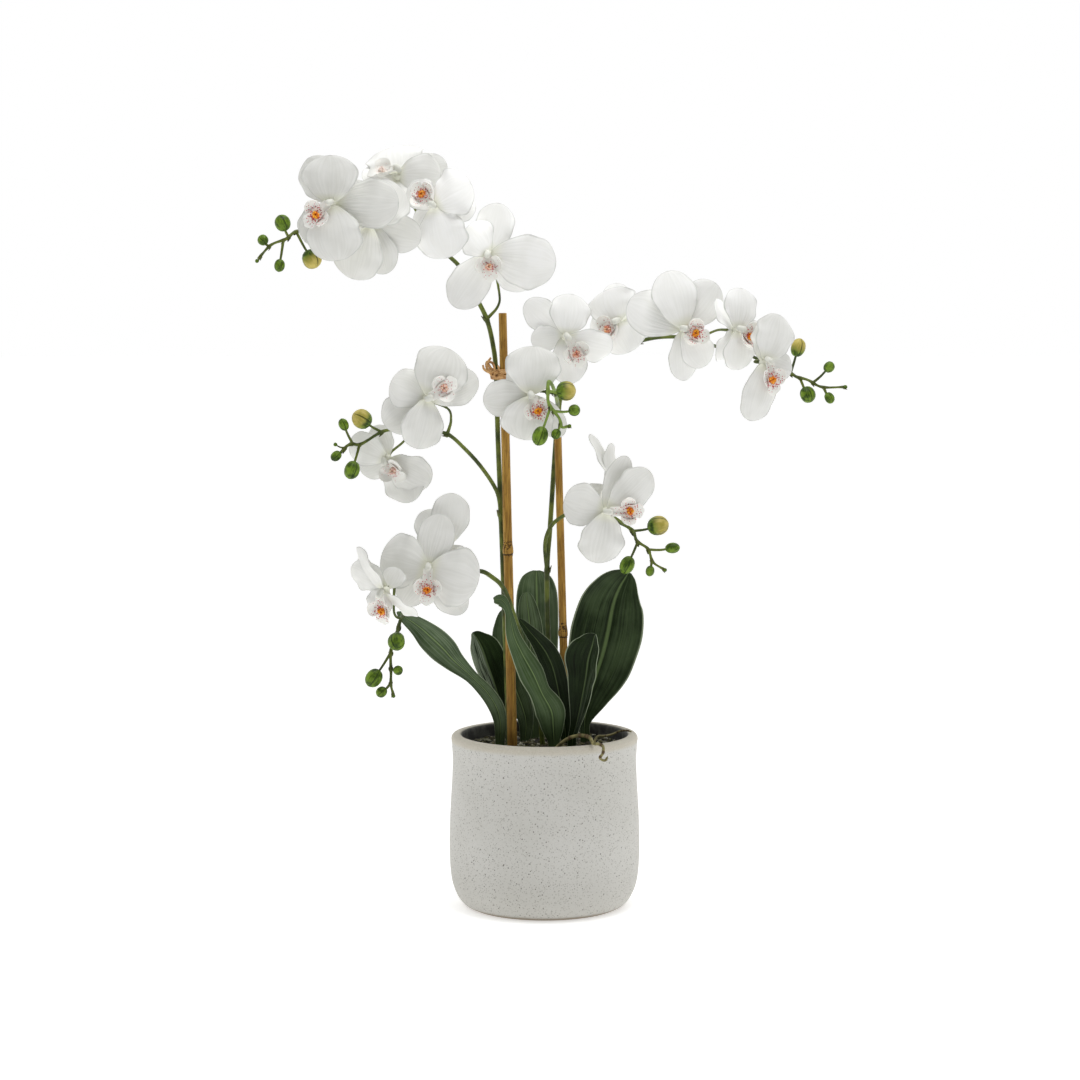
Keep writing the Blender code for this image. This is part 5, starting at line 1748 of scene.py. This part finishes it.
def side_lobe(facing, down, side, foot, phase):
    """Midline, side ways, facings, half widths and upturned sides of a side lobe."""
    grown = np.linspace(0, 1, SIDE_GRID[0])
    out, below, ahead, halves = along_table(SIDE_LOBE, grown)
    ahead = ahead + 0.5 * np.sin(grown * 9 + phase)
    line = foot + side * out[:, None] + down * below[:, None] + facing * ahead[:, None]
    way = unit(np.gradient(line, axis=0))
    broad = unit(down - way * (way @ down)[:, None])
    face = np.cross(broad, way)
    face *= np.sign(face @ facing)[:, None]
    return line, broad, face, halves, 1.6 * np.sin(math.pi * grown) + 0.3


def strip(lobe, thick, columns):
    """Front and back of a thin sheet along a midline."""
    line, sides, facings, halves, cups = lobe
    across = np.linspace(-1, 1, columns)[None, :]
    rise = cups[:, None] * np.abs(across) ** 1.7
    centres = line[:, None, :] + sides[:, None, :] * (across * halves[:, None])[..., None]
    lift = facings[:, None, :]
    return centres + lift * (rise + thick / 2)[..., None], centres + lift * (rise - thick / 2)[..., None]


def make_lip(number, bloom):
    """Lip of a bloom with its column and callus."""
    root, facing, down, side, foot = lip_frame(bloom)
    callus = foot + facing * (LIP_RISE + CALLUS_RISE)
    vivid = VIVID[number - 1]
    draw = np.random.default_rng(number)
    sheets = [strip(middle_lobe(root, facing, down, side, foot), MIDDLE_THICK, MIDDLE_GRID[1])]
    for way in (-side, side):
        sheets.append(strip(side_lobe(facing, down, way, foot, draw.uniform(0, 6)), SIDE_THICK, SIDE_GRID[1]))
    body = Body()
    for sheet in sheets:
        spans = (np.linalg.norm(face - callus, axis=-1) / LIP_SPAN for face in sheet)
        near = tuple(np.minimum(span, LOBE_FAR) for span in spans)
        body.add_sheet(*sheet, near=near, vivid=vivid, gold=0)
    for across, below, ahead, size in WARTS:
        place = callus + side * across + down * below + facing * (ahead - 1.2)
        profile = [(height, radius * size) for height, radius in CALLUS_PROFILE]
        body.add(*rings(profile, WART_SIDES, place, facing), near=0, vivid=vivid, gold=1)
    column = rings(COLUMN_PROFILE, COLUMN_SIDES, root - down * 2.6, facing + down * 0.5)
    body.add(*column, near=COLUMN_FAR, vivid=vivid, gold=0)
    return make_piece(f"lip_lobes_{number:02d}", body, LIP, "lip", f"lip_{number:02d}", 80)


lips = [make_lip(number, bloom) for number, bloom in enumerate(BLOOMS, 1)]
print("lip faces:", sum(len(lip.data.polygons) for lip in lips))

# %% [markdown]
# ## Floor and light
# The photograph is a plain studio picture on pure white paper with next to no shadow. The paper is lit on its
# own in such a studio, which a little glow of its own stands for. The room is bright behind the plant and
# dimmer in front of it, so the pot's edges come out lighter than its middle, and one broad lamp above lights
# the upper blooms most.

# %% Floor and light
FLOOR_REACH = 30000.0
PAPER_GLOW = 0.48
BRIGHT_SIDE = 1.0
DIM_SIDE = 0.24
TOP_LAMP = 8.0
SIDE_LAMP = 1.6
bpy.context.scene.view_settings.view_transform = "Standard"


def make_floor():
    """Sheet of white paper under the pot, on the stage and not part of the object."""
    corners = np.array([(-1, -1, 0), (1, -1, 0), (1, 1, 0), (-1, 1, 0)])
    mesh = mesh_of("studio_floor", corners * FLOOR_REACH, [(0, 1, 2, 3)])
    paint = Paint("floor_paper", roughness=0.9, specular_ior_level=0.2, emission_strength=PAPER_GLOW)
    paint.set("Base Color", rgb(240, 240, 239))
    paint.set("Emission Color", (1.0, 1.0, 1.0, 1.0))
    mesh.materials.append(paint.material)
    add_object("studio_floor", mesh)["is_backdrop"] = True


def make_room():
    """Sky of a studio that is white behind the plant and dimmer in front of it."""
    room = bpy.data.worlds.new("studio")
    bpy.context.scene.world = room
    room.use_nodes = True
    tree = room.node_tree
    way = add_node(tree, "ShaderNodeTexCoord").outputs["Generated"]
    back = add_node(tree, "ShaderNodeSeparateXYZ", None, {0: way}).outputs["Y"]
    inputs = {"Value": back, "From Min": -0.5, "From Max": 0.6, "To Min": DIM_SIDE, "To Max": BRIGHT_SIDE}
    level = add_node(tree, "ShaderNodeMapRange", None, inputs)
    background = tree.nodes["Background"].inputs
    feed(tree, background["Color"], (1.0, 1.0, 1.0, 1.0))
    feed(tree, background["Strength"], level.outputs[0])


def lamp(name, place, aim, size, power):
    """Broad lamp that looks at a spot."""
    light = bpy.data.lights.new(name, "AREA")
    light.size = size
    light.energy = power
    made = add_object(name, light)
    made.location = place
    made.rotation_euler = (Vector(aim) - Vector(place)).to_track_quat("-Z", "Y").to_euler()


make_floor()
make_room()
lamp("top", (0.12, -0.3, 1.5), (0.0, 0.0, 0.5), 0.6, TOP_LAMP)
lamp("left", (-1.3, 0.35, 0.4), (0.0, 0.0, 0.2), 0.9, SIDE_LAMP)
lamp("right", (1.3, 0.35, 0.4), (0.0, 0.0, 0.2), 0.9, SIDE_LAMP)

# %% [markdown]
# ## Boxes
# The box of what is shown is printed beside the box of the solids; every piece is pulled inside the solids'
# box. A visual piece may not grow the object.

# %% Boxes
seen_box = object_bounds()
for label, box in (("solids", cad_box), ("shown", seen_box)):
    print(label, [[round(c * 1000, 2) for c in corner] for corner in box])
